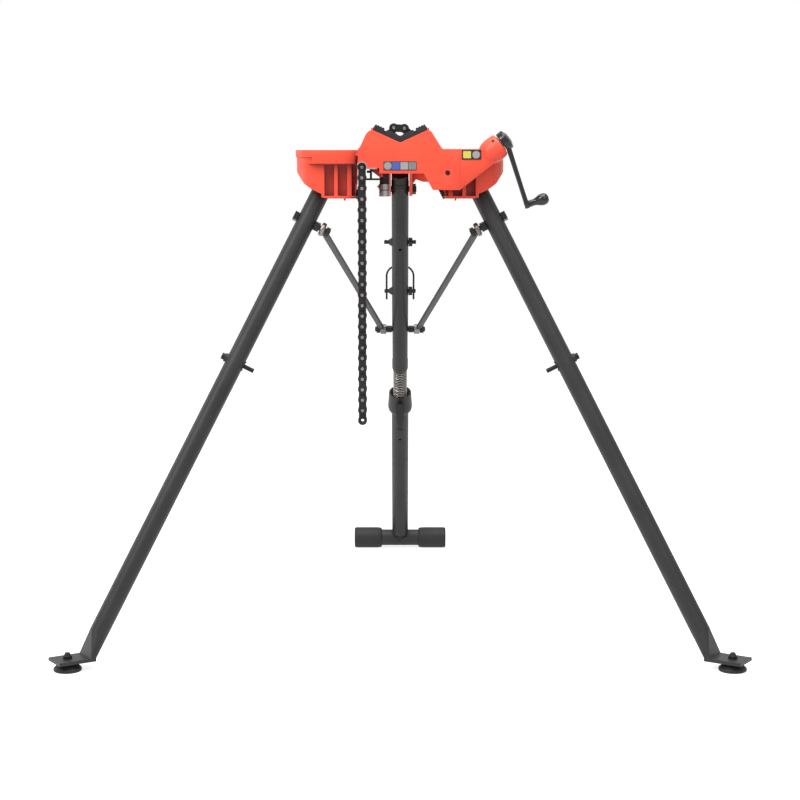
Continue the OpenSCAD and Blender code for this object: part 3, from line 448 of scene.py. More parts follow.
@dataclass
class Workshop:
    """Builds pieces and gives them their finish and body.

    Attributes:
        materials: the made materials by slot.
        extras: materials of small details by name.
        count: pieces made so far.
    """

    materials: dict[Slot, Material] = field(default_factory=dict)
    extras: dict[str, Material] = field(default_factory=dict)
    count: int = 0

    def open(self) -> None:
        """Makes every slot's finish once."""
        self.materials = {slot: finish.build() for slot, finish in FINISHES.items()}

    def extra(self, finish: Finish) -> Material:
        """Makes a detail's finish once.

        Args:
            finish: the finish.

        Returns:
            Its material.
        """
        if finish.name not in self.extras:
            self.extras[finish.name] = finish.build()
        return self.extras[finish.name]

    def add(self, name: str, mesh: Mesh, body: str, slot: Slot, replaces: Iterable[str] = (),
            smooth: float = 35.0, finish: Optional[Finish] = None) -> None:
        """Puts a mesh in the scene as a piece that rides on a body.

        Args:
            name: the piece's name.
            mesh: its mesh, in metres in the stand's frame.
            body: the body it moves with.
            slot: its slot in the record.
            replaces: CAD nodes that it stands for.
            smooth: edges flatter than this angle are shaded smooth.
            finish: its own finish, or None for the slot's.
        """
        obj = bpy.data.objects.new(name, mesh)
        bpy.context.scene.collection.objects.link(obj)
        mesh.materials.clear()
        mesh.materials.append(self.extra(finish) if finish else self.materials[slot])
        mesh.shade_smooth()
        mesh.set_sharp_from_angle(angle=math.radians(smooth))
        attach(obj, body)
        for node in replaces:
            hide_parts(node)
        self.count += 1
        LOG.info("%s rides on %s", name, body)


def mesh_from(bm: BMesh, name: str, place: Placement) -> Mesh:
    """Turns a bmesh in local millimetres into a mesh in the stand's frame.

    Args:
        bm: the geometry; it is freed.
        name: the mesh's name.
        place: where it goes.

    Returns:
        The mesh, with its faces turned outwards.
    """
    bm.transform(place.matrix())
    bmesh.ops.recalc_face_normals(bm, faces=bm.faces)
    mesh = bpy.data.meshes.new(name)
    bm.to_mesh(mesh)
    bm.free()
    return mesh


def circle(steps: int) -> list[Pair]:
    """Gives cosine and sine of evenly spaced angles round a circle.

    Args:
        steps: number of angles.

    Returns:
        One pair for each angle.
    """
    return [(math.cos(2 * math.pi * k / steps), math.sin(2 * math.pi * k / steps)) for k in range(steps)]


def skin(bm: BMesh, rings: Sequence[Sequence[bmesh.types.BMVert]], closed: bool = False) -> None:
    """Joins rings that have the same number of points by faces.

    Args:
        bm: where the faces go.
        rings: the rings from one end to the other.
        closed: whether the last ring meets the first; otherwise both ends get a face.
    """
    pairs = list(zip(rings, rings[1:]))
    if closed:
        pairs.append((rings[-1], rings[0]))
    for low, high in pairs:
        for k in range(len(low)):
            n = (k + 1) % len(low)
            bm.faces.new((low[k], low[n], high[n], high[k]))
    if not closed:
        bm.faces.new(rings[0][::-1])
        bm.faces.new(rings[-1])


def slab(bm: BMesh, outline: Profile, front: float, back: float) -> None:
    """Makes a plate that stands upright, facing the front.

    Args:
        bm: where the faces go.
        outline: X and Z of its corners.
        front: Y of its front.
        back: Y of its back.
    """
    skin(bm, [[bm.verts.new((x, y, z)) for x, z in outline] for y in (front, back)])


def lathe(bm: BMesh, profile: Profile, turn: Matrix = UNTURNED, steps: int = 48) -> None:
    """Revolves a profile of radius and height about Z, closing its poles.

    Args:
        bm: where the faces go.
        profile: radius and height from one end to the other; radius 0 is a pole.
        turn: places the result.
        steps: number of facets round.
    """
    rings = []
    for r, z in profile:
        spokes = circle(steps) if r > 0 else [(0.0, 0.0)]
        rings.append([bm.verts.new(turn @ Vector((r * c, r * s, z))) for c, s in spokes])
    for low, high in zip(rings, rings[1:]):
        for k in range(steps):
            n = (k + 1) % steps
            loop = [low[k % len(low)], low[n % len(low)], high[n % len(high)], high[k % len(high)]]
            loop = list(dict.fromkeys(loop))
            if len(loop) > 2:
                bm.faces.new(loop)


def rounded(profile: Profile, radius: float, steps: int = 4) -> list[Pair]:
    """Rounds a profile's corners.

    Args:
        profile: the corner points.
        radius: how far from each corner the rounding starts.
        steps: points in each rounding.

    Returns:
        The rounded profile.
    """
    # A rounding takes a little less than half of the side next to it
    share = 2.1
    pts = [Vector(p) for p in profile]
    out = [tuple(pts[0])]
    for a, b, c in zip(pts, pts[1:], pts[2:]):
        r = min(radius, (a - b).length / share, (c - b).length / share)
        p, q = b + (a - b).normalized() * r, b + (c - b).normalized() * r
        for k in range(steps + 1):
            t = k / steps
            out.append(tuple(p * (1 - t) ** 2 + b * 2 * t * (1 - t) + q * t * t))
    return out + [tuple(pts[-1])]


def sweep(bm: BMesh, path: Sequence[Vector], radii: Sequence[float], sides: int = 10,
          closed: bool = False) -> None:
    """Runs a round section along a path.

    Args:
        bm: where the faces go.
        path: the path's points.
        radii: the section's radius at each point.
        sides: facets of the section.
        closed: whether the path is a loop.
    """
    rings = []
    count = len(path)
    normal = None
    for i, p in enumerate(path):
        a = path[i - 1] if i or closed else p
        b = path[(i + 1) % count] if i < count - 1 or closed else p
        tangent = (b - a).normalized()
        if normal is None:
            normal = tangent.orthogonal().normalized()
        normal = (normal - tangent * normal.dot(tangent)).normalized()
        side = tangent.cross(normal)
        rings.append([bm.verts.new(p + (normal * c + side * s) * radii[i]) for c, s in circle(sides)])
    skin(bm, rings, closed)


def weld_bead(bm: BMesh, path: Sequence[Vector], radius: float, waves: tuple[Pair, Pair]) -> None:
    """Lays an uneven weld bead round a closed path.

    Args:
        bm: where the faces go.
        path: points at even angles round the joint.
        radius: the bead's middle radius.
        waves: number and share of the radius of the bead's two ripples.
    """
    radii = []
    for k in range(len(path)):
        a = 2 * math.pi * k / len(path)
        radii.append(radius * (1 + sum(share * math.sin(number * a) for number, share in waves)))
    sweep(bm, path, radii, sides=8, closed=True)


@dataclass
class SoftEdges:
    """Rounds the edges of carried-over CAD nodes.

    Attributes:
        shop: gives the pieces their finish.
        nodes: name, slot and rounding width of each node.
        merge: points nearer than this are joined, in metres.
        flat: faces that bend less than this are joined.
        segments: facets of the rounding.
    """

    shop: Workshop
    nodes: tuple[tuple[str, Slot, float], ...] = (
        ("head_casting", Slot.PAINT, 1.1), ("front_jaw", Slot.JAW, 0.5), ("rear_jaw", Slot.JAW, 0.5))
    merge: float = 0.000002
    flat: float = 0.6
    segments: int = 2

    def build(self) -> None:
        """Replaces each node by a copy with rounded edges."""
        for node, slot, width in self.nodes:
            source = frame["nodes"][node]
            bm = bmesh.new()
            bm.from_mesh(source.data)
            bmesh.ops.remove_doubles(bm, verts=bm.verts, dist=self.merge)
            bmesh.ops.dissolve_limit(bm, angle_limit=math.radians(self.flat), verts=bm.verts,
                                     edges=bm.edges)
            bm.normal_update()
            sharp = [e for e in bm.edges if e.is_manifold and e.calc_face_angle(0) > math.radians(SHARP)]
            bmesh.ops.bevel(bm, geom=sharp, offset=width * MM, offset_type="OFFSET",
                            segments=self.segments, profile=0.5, affect="EDGES", clamp_overlap=True)
            bmesh.ops.triangulate(bm, faces=[f for f in bm.faces if len(f.verts) > 4])
            mesh = bpy.data.meshes.new(node + "_soft")
            bm.to_mesh(mesh)
            bm.free()
            self.shop.add(node + "_soft", mesh, source["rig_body"], slot, [node], 40.0)


@dataclass
class Repeater:
    """Geometry Nodes for what repeats: rivet ends and thread turns.

    Attributes:
        shop: gives the pieces their finish.
        rim: a rivet's rim circle over its radius.
        bead: the rim's section over the rivet's radius.
        dome: a rivet's raised middle over its radius.
        rise: the middle's thickness over the rivet's radius.
        facets: facets round a rivet.
        crest: the ridge's path over the thread's radius.
        ridge: the ridge's section over the thread's radius.
        core: the rod's core over the thread's radius.
        per_turn: points in one turn of the thread.
        section: facets of a round section.
    """

    shop: Workshop
    rim: float = 0.74
    bead: float = 0.24
    dome: float = 0.8
    rise: float = 0.16
    facets: int = 20
    crest: float = 0.93
    ridge: float = 0.07
    core: float = 0.85
    per_turn: int = 32
    section: int = 8

    @staticmethod
    def _group(name: str, sizes: Sequence[str]) -> Tree:
        """Makes a geometry group with named sizes and a material.

        Args:
            name: the group's name.
            sizes: names of its number inputs.

        Returns:
            The group.
        """
        group = bpy.data.node_groups.new(name, "GeometryNodeTree")
        group.interface.new_socket("Geometry", in_out="INPUT", socket_type="NodeSocketGeometry")
        for label in sizes:
            group.interface.new_socket(label, in_out="INPUT", socket_type="NodeSocketFloat")
        group.interface.new_socket("Material", in_out="INPUT", socket_type="NodeSocketMaterial")
        group.interface.new_socket("Geometry", in_out="OUTPUT", socket_type="NodeSocketGeometry")
        return group

    def _tube(self, group: Tree, path: Socket, radius: Socket) -> Socket:
        """Runs a round section along a curve.

        Args:
            group: the geometry group.
            path: the curve.
            radius: the section's radius.

        Returns:
            The tube's mesh socket.
        """
        around = group.nodes.new("GeometryNodeCurvePrimitiveCircle")
        around.inputs["Resolution"].default_value = self.section
        group.links.new(radius, around.inputs["Radius"])
        tube = group.nodes.new("GeometryNodeCurveToMesh")
        tube.inputs["Fill Caps"].default_value = True
        group.links.new(path, tube.inputs["Curve"])
        group.links.new(around.outputs["Curve"], tube.inputs["Profile Curve"])
        return tube.outputs["Mesh"]

    @staticmethod
    def _end(group: Tree, shape: Socket, material: Socket) -> None:
        """Ends a group in Realize Instances and Set Material.

        Args:
            group: the geometry group.
            shape: the finished geometry.
            material: its material.
        """
        real = group.nodes.new("GeometryNodeRealizeInstances")
        paint = group.nodes.new("GeometryNodeSetMaterial")
        out = group.nodes.new("NodeGroupOutput")
        group.links.new(shape, real.inputs["Geometry"])
        group.links.new(real.outputs["Geometry"], paint.inputs["Geometry"])
        group.links.new(material, paint.inputs["Material"])
        group.links.new(paint.outputs["Geometry"], out.inputs["Geometry"])

    @staticmethod
    def _bake(points: Sequence[Vector], group: Tree, values: dict[str, object], name: str) -> Mesh:
        """Runs a group on loose points and gives a plain mesh.

        Args:
            points: the points in metres.
            group: the geometry group.
            values: the inputs by name.
            name: the mesh's name.

        Returns:
            The plain mesh.
        """
        start = bpy.data.meshes.new(name + "_points")
        start.from_pydata([tuple(p) for p in points], [], [])
        obj = bpy.data.objects.new(name + "_points", start)
        bpy.context.scene.collection.objects.link(obj)
        mod = obj.modifiers.new("repeat", "NODES")
        mod.node_group = group
        for item in group.interface.items_tree:
            if item.item_type == "SOCKET" and item.in_out == "INPUT" and item.name in values:
                mod[item.identifier] = values[item.name]
        bpy.context.view_layer.update()
        graph = bpy.context.evaluated_depsgraph_get()
        mesh = bpy.data.meshes.new_from_object(obj.evaluated_get(graph))
        mesh.name = name
        bpy.data.objects.remove(obj)
        bpy.data.meshes.remove(start)
        return mesh

    def rivets(self, name: str, body: str, points: Sequence[Vector], radius: float) -> None:
        """Puts an upset rivet end on each pin end.

        Args:
            name: the piece's name.
            body: the body it rides on.
            points: the pin ends in metres; each side of the chain's middle faces outwards.
            radius: the rivet's radius.
        """
        group = self._group(name + "_group", ("Radius", "Middle"))
        nodes, links = group.nodes, group.links
        given = nodes.new("NodeGroupInput")
        size = given.outputs["Radius"]
        ring = nodes.new("GeometryNodeCurvePrimitiveCircle")
        ring.inputs["Resolution"].default_value = self.facets
        links.new(maths(group, "MULTIPLY", size, self.rim), ring.inputs["Radius"])
        rim = self._tube(group, ring.outputs["Curve"], maths(group, "MULTIPLY", size, self.bead))
        dome = nodes.new("GeometryNodeMeshCylinder")
        dome.inputs["Vertices"].default_value = self.facets
        links.new(maths(group, "MULTIPLY", size, self.dome), dome.inputs["Radius"])
        links.new(maths(group, "MULTIPLY", size, self.rise), dome.inputs["Depth"])
        join = nodes.new("GeometryNodeJoinGeometry")
        links.new(rim, join.inputs["Geometry"])
        links.new(dome.outputs["Mesh"], join.inputs["Geometry"])
        where = nodes.new("GeometryNodeInputPosition")
        split = nodes.new("ShaderNodeSeparateXYZ")
        links.new(where.outputs["Position"], split.inputs["Vector"])
        side = maths(group, "SIGN", maths(group, "SUBTRACT", split.outputs["Y"], given.outputs["Middle"]))
        turn = nodes.new("ShaderNodeCombineXYZ")
        links.new(maths(group, "MULTIPLY", side, -math.pi / 2), turn.inputs["X"])
        place = nodes.new("GeometryNodeInstanceOnPoints")
        links.new(given.outputs["Geometry"], place.inputs["Points"])
        links.new(join.outputs["Geometry"], place.inputs["Instance"])
        links.new(turn.outputs["Vector"], place.inputs["Rotation"])
        self._end(group, place.outputs["Instances"], given.outputs["Material"])
        mesh = self._bake(points, group, {"Radius": radius * MM, "Middle": SHIFT_Y * MM,
                                          "Material": self.shop.extra(PIN_STEEL)}, name)
        self.shop.add(name, mesh, body, Slot.CHAIN, finish=PIN_STEEL)

    def thread(self, name: str, body: str, place: Placement, radius: float, length: float,
               lead: float, replaces: Iterable[str]) -> None:
        """Makes a threaded rod that runs up from the frame's origin.

        Args:
            name: the piece's name.
            body: the body it rides on.
            place: its frame, Z along the rod.
            radius: the outer radius.
            length: its length.
            lead: the thread's lead.
            replaces: CAD nodes that it stands for.
        """
        group = self._group(name + "_group", ("Radius", "Length", "Turns"))
        given = group.nodes.new("NodeGroupInput")
        size = given.outputs["Radius"]
        spiral = group.nodes.new("GeometryNodeCurveSpiral")
        spiral.inputs["Resolution"].default_value = self.per_turn
        crest = maths(group, "MULTIPLY", size, self.crest)
        for value, socket in ((given.outputs["Turns"], "Rotations"), (crest, "Start Radius"),
                              (crest, "End Radius"), (given.outputs["Length"], "Height")):
            group.links.new(value, spiral.inputs[socket])
        ridge = self._tube(group, spiral.outputs["Curve"], maths(group, "MULTIPLY", size, self.ridge))
        self._end(group, ridge, given.outputs["Material"])
        mesh = self._bake([Vector()], group, {"Radius": radius, "Length": length, "Turns": length / lead,
                                              "Material": self.shop.extra(THREAD_STEEL)}, name)
        mesh.transform(place.matrix())
        self.shop.add(name, mesh, body, Slot.BRIGHT, replaces, finish=THREAD_STEEL)
        # The core shows in the grooves between the ridges and carries their painted shade.
        bm = bmesh.new()
        core = radius * self.core
        lathe(bm, [(0, 0), (core, 0), (core, length), (0, length)])
        self.shop.add(name + "_core", mesh_from(bm, name + "_core", place), body, Slot.BRIGHT,
                      finish=THREAD_GROOVE_SHADE)


@dataclass
class Chain:
    """The chain's rivet ends.

    Attributes:
        repeat: places the rivets.
        pitch: the chain's pitch.
        pin: the pin's radius.
        half: half a pin's length.
        claw: X and Z of the pin in the claw, where the free end hangs.
        per_length: pins in each hinged length of the free end.
        climb: slopes of the links from the claw over the V.
        descent: slope of the links down to the draw link.
        descending: number of those links.
    """

    repeat: Repeater
    pitch: float = 19.05
    pin: float = 3.0
    half: float = 14.4
    claw: Pair = (-68.2, TOP - 30.2)
    per_length: int = 8
    climb: tuple[float, ...] = (22.2, 36.4, 50.6, 79.0, 64.8, -3.0)
    descent: float = -48.0
    descending: int = 6

    def seat_pins(self) -> list[Pair]:
        """Gives X and Z of the pins over the V, after the one in the claw.

        Returns:
            The pins up to the draw link.
        """
        pins = [self.claw]
        for slope in (*self.climb, *[self.descent] * self.descending):
            x, z = pins[-1]
            pins.append((x + self.pitch * cos_d(slope), z + self.pitch * sin_d(slope)))
        return pins[1:]

    def ends(self, pins: Iterable[Pair]) -> list[Vector]:
        """Gives both ends of each pin.

        Args:
            pins: X and Z of the pins.

        Returns:
            The ends in metres.
        """
        return [Vector((x * MM, (SHIFT_Y + side * self.half) * MM, z * MM))
                for x, z in pins for side in (-1, 1)]

    def build(self) -> None:
        """Adds the rivet ends of every length of chain."""
        x, z = self.claw
        for k, body in enumerate(("tail_a", "tail_b", "tail_c")):
            first = k * self.per_length
            pins = [(x, z - self.pitch * i) for i in range(first, first + self.per_length)]
            self.repeat.rivets(body + "_rivets", body, self.ends(pins), self.pin)
        self.repeat.rivets("seat_rivets", "head", self.ends(self.seat_pins()), self.pin)


@dataclass
class Labels:
    """Blank tiles on the bare label plates.

    Attributes:
        shop: gives finishes.
        front_y: front of the plate under the vise.
        arm_y: front of the plate on the arm.
        proud: how far a tile stands in front of its plate.
        sunk: how far it reaches into the plate.
        corner: radius of a square tile's corners.
        disc: corner radius of a nearly round tile.
        corner_steps: facets of each corner.
        front_x: left edge of the first tile under the vise.
        front_drops: how far below the rim those tiles' lower and upper edges are.
        step: distance from one of those tiles to the next.
        width: width of those tiles.
    """

    shop: Workshop
    front_y: float = -24.8
    arm_y: float = -21.8
    proud: float = 0.22
    sunk: float = 0.05
    corner: float = 1.2
    disc: float = 6.0
    corner_steps: int = 6
    front_x: float = -28.6
    front_drops: Pair = (34.6, 21.5)
    step: float = 14.6
    width: float = 13.4

    def tile(self, name: str, low: Pair, high: Pair, plate_y: float, corner: float, finish: Finish,
             slot: Slot) -> None:
        """Adds one thin tile with round corners.

        Args:
            name: the piece's name.
            low: lowest X and Z.
            high: highest X and Z.
            plate_y: the plate's front.
            corner: the corners' radius.
            finish: the tile's surface.
            slot: the record's slot.
        """
        (left, bottom), (right, top) = low, high
        centres = ((right - corner, top - corner), (left + corner, top - corner),
                   (left + corner, bottom + corner), (right - corner, bottom + corner))
        outline = []
        for quarter, (x, z) in enumerate(centres):
            for k in range(self.corner_steps + 1):
                a = 90 * (quarter + k / self.corner_steps)
                outline.append((x + corner * cos_d(a), z + corner * sin_d(a)))
        bm = bmesh.new()
        slab(bm, outline, plate_y - self.proud, plate_y + self.sunk)
        self.shop.add(name, mesh_from(bm, name, STAND), "head", slot, finish=finish)

    def build(self) -> None:
        """Adds all tiles."""
        bottom, top = (TOP - drop for drop in self.front_drops)
        for k, finish in enumerate((PALE_TILE, BLUE_TILE, PALE_TILE, GREY_TILE)):
            x = self.front_x + k * self.step
            corner = self.disc if k == 0 else self.corner
            self.tile(f"front_tile_{k}", (x, bottom), (x + self.width, top), self.front_y, corner, finish,
                      Slot.PLATE)
        self.tile("arm_tile_0", (112.0, TOP - 14.6), (126.0, TOP - 2.0), self.arm_y, self.corner,
                  YELLOW_TILE, Slot.DARK_PLATE)
        self.tile("arm_tile_1", (128.5, TOP - 14.8), (141.8, TOP - 1.8), self.arm_y, self.disc,
                  PALE_TILE, Slot.DARK_PLATE)


@dataclass
class Crank:
    """The gloss black crank and its knob, in the hub's frame.

    Attributes:
        shop: gives finishes.
        arm: the arm's length.
        lean: the arm's lean over the hub's plane.
        off: the arm's start in front of the hub's middle.
        square: how square the arm's section is; 1 would be round.
        facets: points round the arm's section.
        bore: radius of the knob's bore, which clears its pin.
    """

    shop: Workshop
    arm: float = 121.3
    lean: float = 19.8
    off: float = 2.5
    square: float = 0.4
    facets: int = 24
    bore: float = 3.62

    def arm_turn(self) -> Matrix:
        """Gives the arm's frame: Z points from the knob to the hub.

        Returns:
            The matrix in the hub's frame.
        """
        return Matrix.Translation((self.off, 0, 0)) @ Matrix.Rotation(math.radians(self.lean), 4, "Y")

    def knob_turn(self) -> Matrix:
        """Gives the knob's frame: Z along its pin.

        Returns:
            The matrix in the hub's frame.
        """
        return self.arm_turn() @ Matrix.Translation((0, 0, -self.arm)) @ ALONG_X

    def body(self) -> None:
        """Adds the hub, the arm and the knob's pin as one piece."""
        bm = bmesh.new()
        drum = [(0, -7), (17.4, -7), (18.5, -6), (18.5, 4.6), (17.6, 5.8), (14, 7.0), (10, 9.0), (6, 9.4),
                (0, 9.4)]
        lathe(bm, rounded(drum, 0.5, 3), ALONG_X, 64)
        # Height, half thickness and half width of the arm's sections
        sections = [(-6.0, 4.5, 9.0), (-20, 4.5, 8.6), (-44, 4.3, 7.8), (-88, 4.2, 7.0), (-110, 4.3, 7.0),
                    (-119, 4.5, 7.0), (-126.2, 4.5, 6.8), (-127.9, 3.6, 5.6), (-128.3, 2.4, 4.2)]
        turn = self.arm_turn()
        rings = []
        for z, thick, wide in sections:
            rings.append([bm.verts.new(turn @ Vector((thick * math.copysign(abs(c) ** self.square, c),
                                                      wide * math.copysign(abs(s) ** self.square, s), z)))
                          for c, s in circle(self.facets)])
        skin(bm, rings)
        pin = [(0, -4.4), (6.6, -4.4), (6.6, 4.7), (3.5, 5.0), (3.5, 35.5), (0, 35.5)]
        lathe(bm, rounded(pin, 0.8), self.knob_turn())
        self.shop.add("crank_body", mesh_from(bm, "crank_body", HUB), "crank", Slot.GLOSS, ["crank_arm"])

    def knob(self) -> None:
        """Adds the turned knob round its pin."""
        outside = [(self.bore, 5.1), (6.2, 5.1), (6.6, 6.2), (6.2, 9), (5.9, 13), (6.6, 17), (8.6, 21.5),
                   (10.4, 26), (11, 30), (10.6, 34), (8.8, 38), (5.6, 40.6), (0, 41.4)]
        inside = [(0, 36.4), (self.bore, 36.4), (self.bore, 5.1)]
        bm = bmesh.new()
        lathe(bm, [*inside, *rounded(outside, 2.0, 3)[1:]], self.knob_turn(), 40)
        self.shop.add("knob_body", mesh_from(bm, "knob_body", HUB), "knob", Slot.GLOSS, ["crank_knob"], 60)

    def build(self) -> None:
        """Adds both pieces."""
        self.body()
        self.knob()


@dataclass
class Casting:
    """Details on the casting: the bulb's egg, its set screw and the rear web.

    Attributes:
        shop: gives finishes.
        middle: the egg's middle line beside the hub's, in the hub's frame.
        screw_at: distance from the hub's middle to the set screw, into the casting.
        screw_turn: the set screw's turn round the egg.
        web_front: Y of the rear web's front.
        web_back: Y of the rear web's back.
    """

    shop: Workshop
    middle: Point = (0.0, -5.4, -1.6)
    screw_at: float = 18.2
    screw_turn: float = 46.0
    web_front: float = 318.0
    web_back: float = 324.0

    def egg(self) -> None:
        """Adds the egg that stands proud on the bulb."""
        outline = [(0, -55), (5.5, -54.2), (11, -51.6), (16, -46.6), (19.6, -39.5), (21.6, -31),
                   (21.9, -23), (21.0, -15), (19.2, -10.4), (17.0, -9.8), (0, -9.8)]
        bm = bmesh.new()
        lathe(bm, rounded(outline, 1.2, 3), Matrix.Translation(self.middle) @ ALONG_X, 72)
        self.shop.add("bulb_egg", mesh_from(bm, "bulb_egg", HUB), "head", Slot.PAINT, smooth=60)

    def screw(self) -> None:
        """Adds the hollow set screw in the egg."""
        seat = Matrix.Translation(self.middle) @ Matrix.Translation((-self.screw_at, 0, 0))
        turn = Matrix.Rotation(math.radians(self.screw_turn), 4, "X")
        outline = [(0, 19.6), (1.3, 19.6), (1.5, 22.2), (2.5, 22.2), (2.9, 21.7), (2.9, 17), (0, 17)]
        bm = bmesh.new()
        lathe(bm, outline, seat @ turn, 32)
        self.shop.add("bulb_screw", mesh_from(bm, "bulb_screw", HUB), "head", Slot.BLACK, smooth=40)

    def web(self) -> None:
        """Adds the web on the right rear cheek."""
        outline = [(21.5, 868.0), (66.0, 868.0), (66.0, 830.5), (44.0, 831.5), (31.0, 836.0),
                   (24.0, 826.0), (21.5, 826.0)]
        bm = bmesh.new()
        slab(bm, outline, self.web_front, self.web_back)
        self.shop.add("rear_web", mesh_from(bm, "rear_web", STAND), "head", Slot.PAINT, smooth=30)

    def build(self) -> None:
        """Adds the three details."""
        self.egg()
        self.screw()
        self.web()


@dataclass
class Legs:
    """Details of the front legs: stud welds and pads.

    Attributes:
        shop: gives finishes.
        tube: the leg tube's radius.
        stud: the mid-leg stud's radius.
        stud_at: distance from the pivot to the stud.
        bead: the weld's radius.
        ripples: number and share of the bead's two ripples.
        points: points round the weld.
    """

    shop: Workshop
    tube: float = 16.7
    stud: float = 8.0
    stud_at: float = 379.0
    bead: float = 1.6
    ripples: tuple[Pair, Pair] = ((9, 0.16), (23, 0.08))
    points: int = 48

    def weld(self, side: int, word: str) -> None:
        """Adds the weld bead where the stud meets the tube's inner side.

        Args:
            side: 1 for the right leg, -1 for the left one.
            word: the side's name.
        """
        path = []
        for c, s in circle(self.points):
            y = self.stud * c
            path.append(Vector((-math.sqrt(self.tube ** 2 - y * y), y, self.stud * s - self.stud_at)))
        bm = bmesh.new()
        weld_bead(bm, path, self.bead, self.ripples)
        name = word + "_leg_weld"
        self.shop.add(name, mesh_from(bm, name, front_leg(side)), word + "_leg", Slot.COAT, smooth=60)

    def pad(self, word: str) -> None:
        """Adds the turned rubber pad under the foot.

        Args:
            word: the side's name.
        """
        profile = [(4.1, 4.0), (4.1, 15.4), (11.5, 15.4), (15.5, 13.6), (21.5, 8.0), (24.3, 5.4),
                   (24.5, 1.4), (23.2, 0.0), (17.0, 0.0), (16.0, 1.2), (9.5, 1.2), (8.6, 0.0), (4.1, 0.0),
                   (4.1, 2.0), (4.1, 4.0)]
        bm = bmesh.new()
        lathe(bm, rounded(profile, 0.9, 3), steps=56)
        middle = node_middle(word + "_foot_pad")
        place = replace(middle, origin=(*middle.origin[:2], 0.0))
        name = word + "_pad_body"
        self.shop.add(name, mesh_from(bm, name, place), word + "_pad", Slot.RUBBER, [word + "_foot_pad"],
                      50)

    def build(self) -> None:
        """Adds the details of both legs."""
        for side, word in ((1, "right"), (-1, "left")):
            self.weld(side, word)
            self.pad(word)


@dataclass
class BraceEyes:
    """The barrel eyes at both ends of the braces.

    Attributes:
        shop: gives finishes.
        front: the front eye's middle in a front leg's frame.
        rear: the rear eye's middle in the rear leg's frame.
    """

    shop: Workshop
    front: Point = (-33.0, 0.0, -90.0)
    rear: Point = (37.0, 0.0, -342.0)

    def build(self) -> None:
        """Adds both eyes of both braces."""
        barrel = [(8.4, -4.2), (11.2, -4.2), (12.8, -2.2), (13.0, 0), (12.8, 2.2), (11.2, 4.2), (8.4, 4.2),
                  (8.4, -4.2)]
        collar = [(5.1, -8.6), (8.4, -8.6), (10.0, -7.4), (10.5, -5.0), (10.5, 2.2), (9.6, 3.6), (5.1, 3.6),
                  (5.1, -8.6)]
        to_stand = STAND.matrix().inverted()
        for side, word in ((1, "right"), (-1, "left")):
            bm = bmesh.new()
            to_leg = to_stand @ front_leg(side).matrix()
            lathe(bm, barrel, to_leg @ Matrix.Translation(self.front) @ ALONG_X, 56)
            to_rear = to_stand @ REAR.matrix() @ Matrix.Diagonal((side, 1, 1, 1))
            lathe(bm, collar, to_rear @ Matrix.Translation(self.rear) @ ALONG_X, 48)
            name = word + "_eye_bodies"
            self.shop.add(name, mesh_from(bm, name, STAND), word + "_brace", Slot.BRIGHT,
                          [word + "_brace_eyes"], finish=EYE_STEEL)


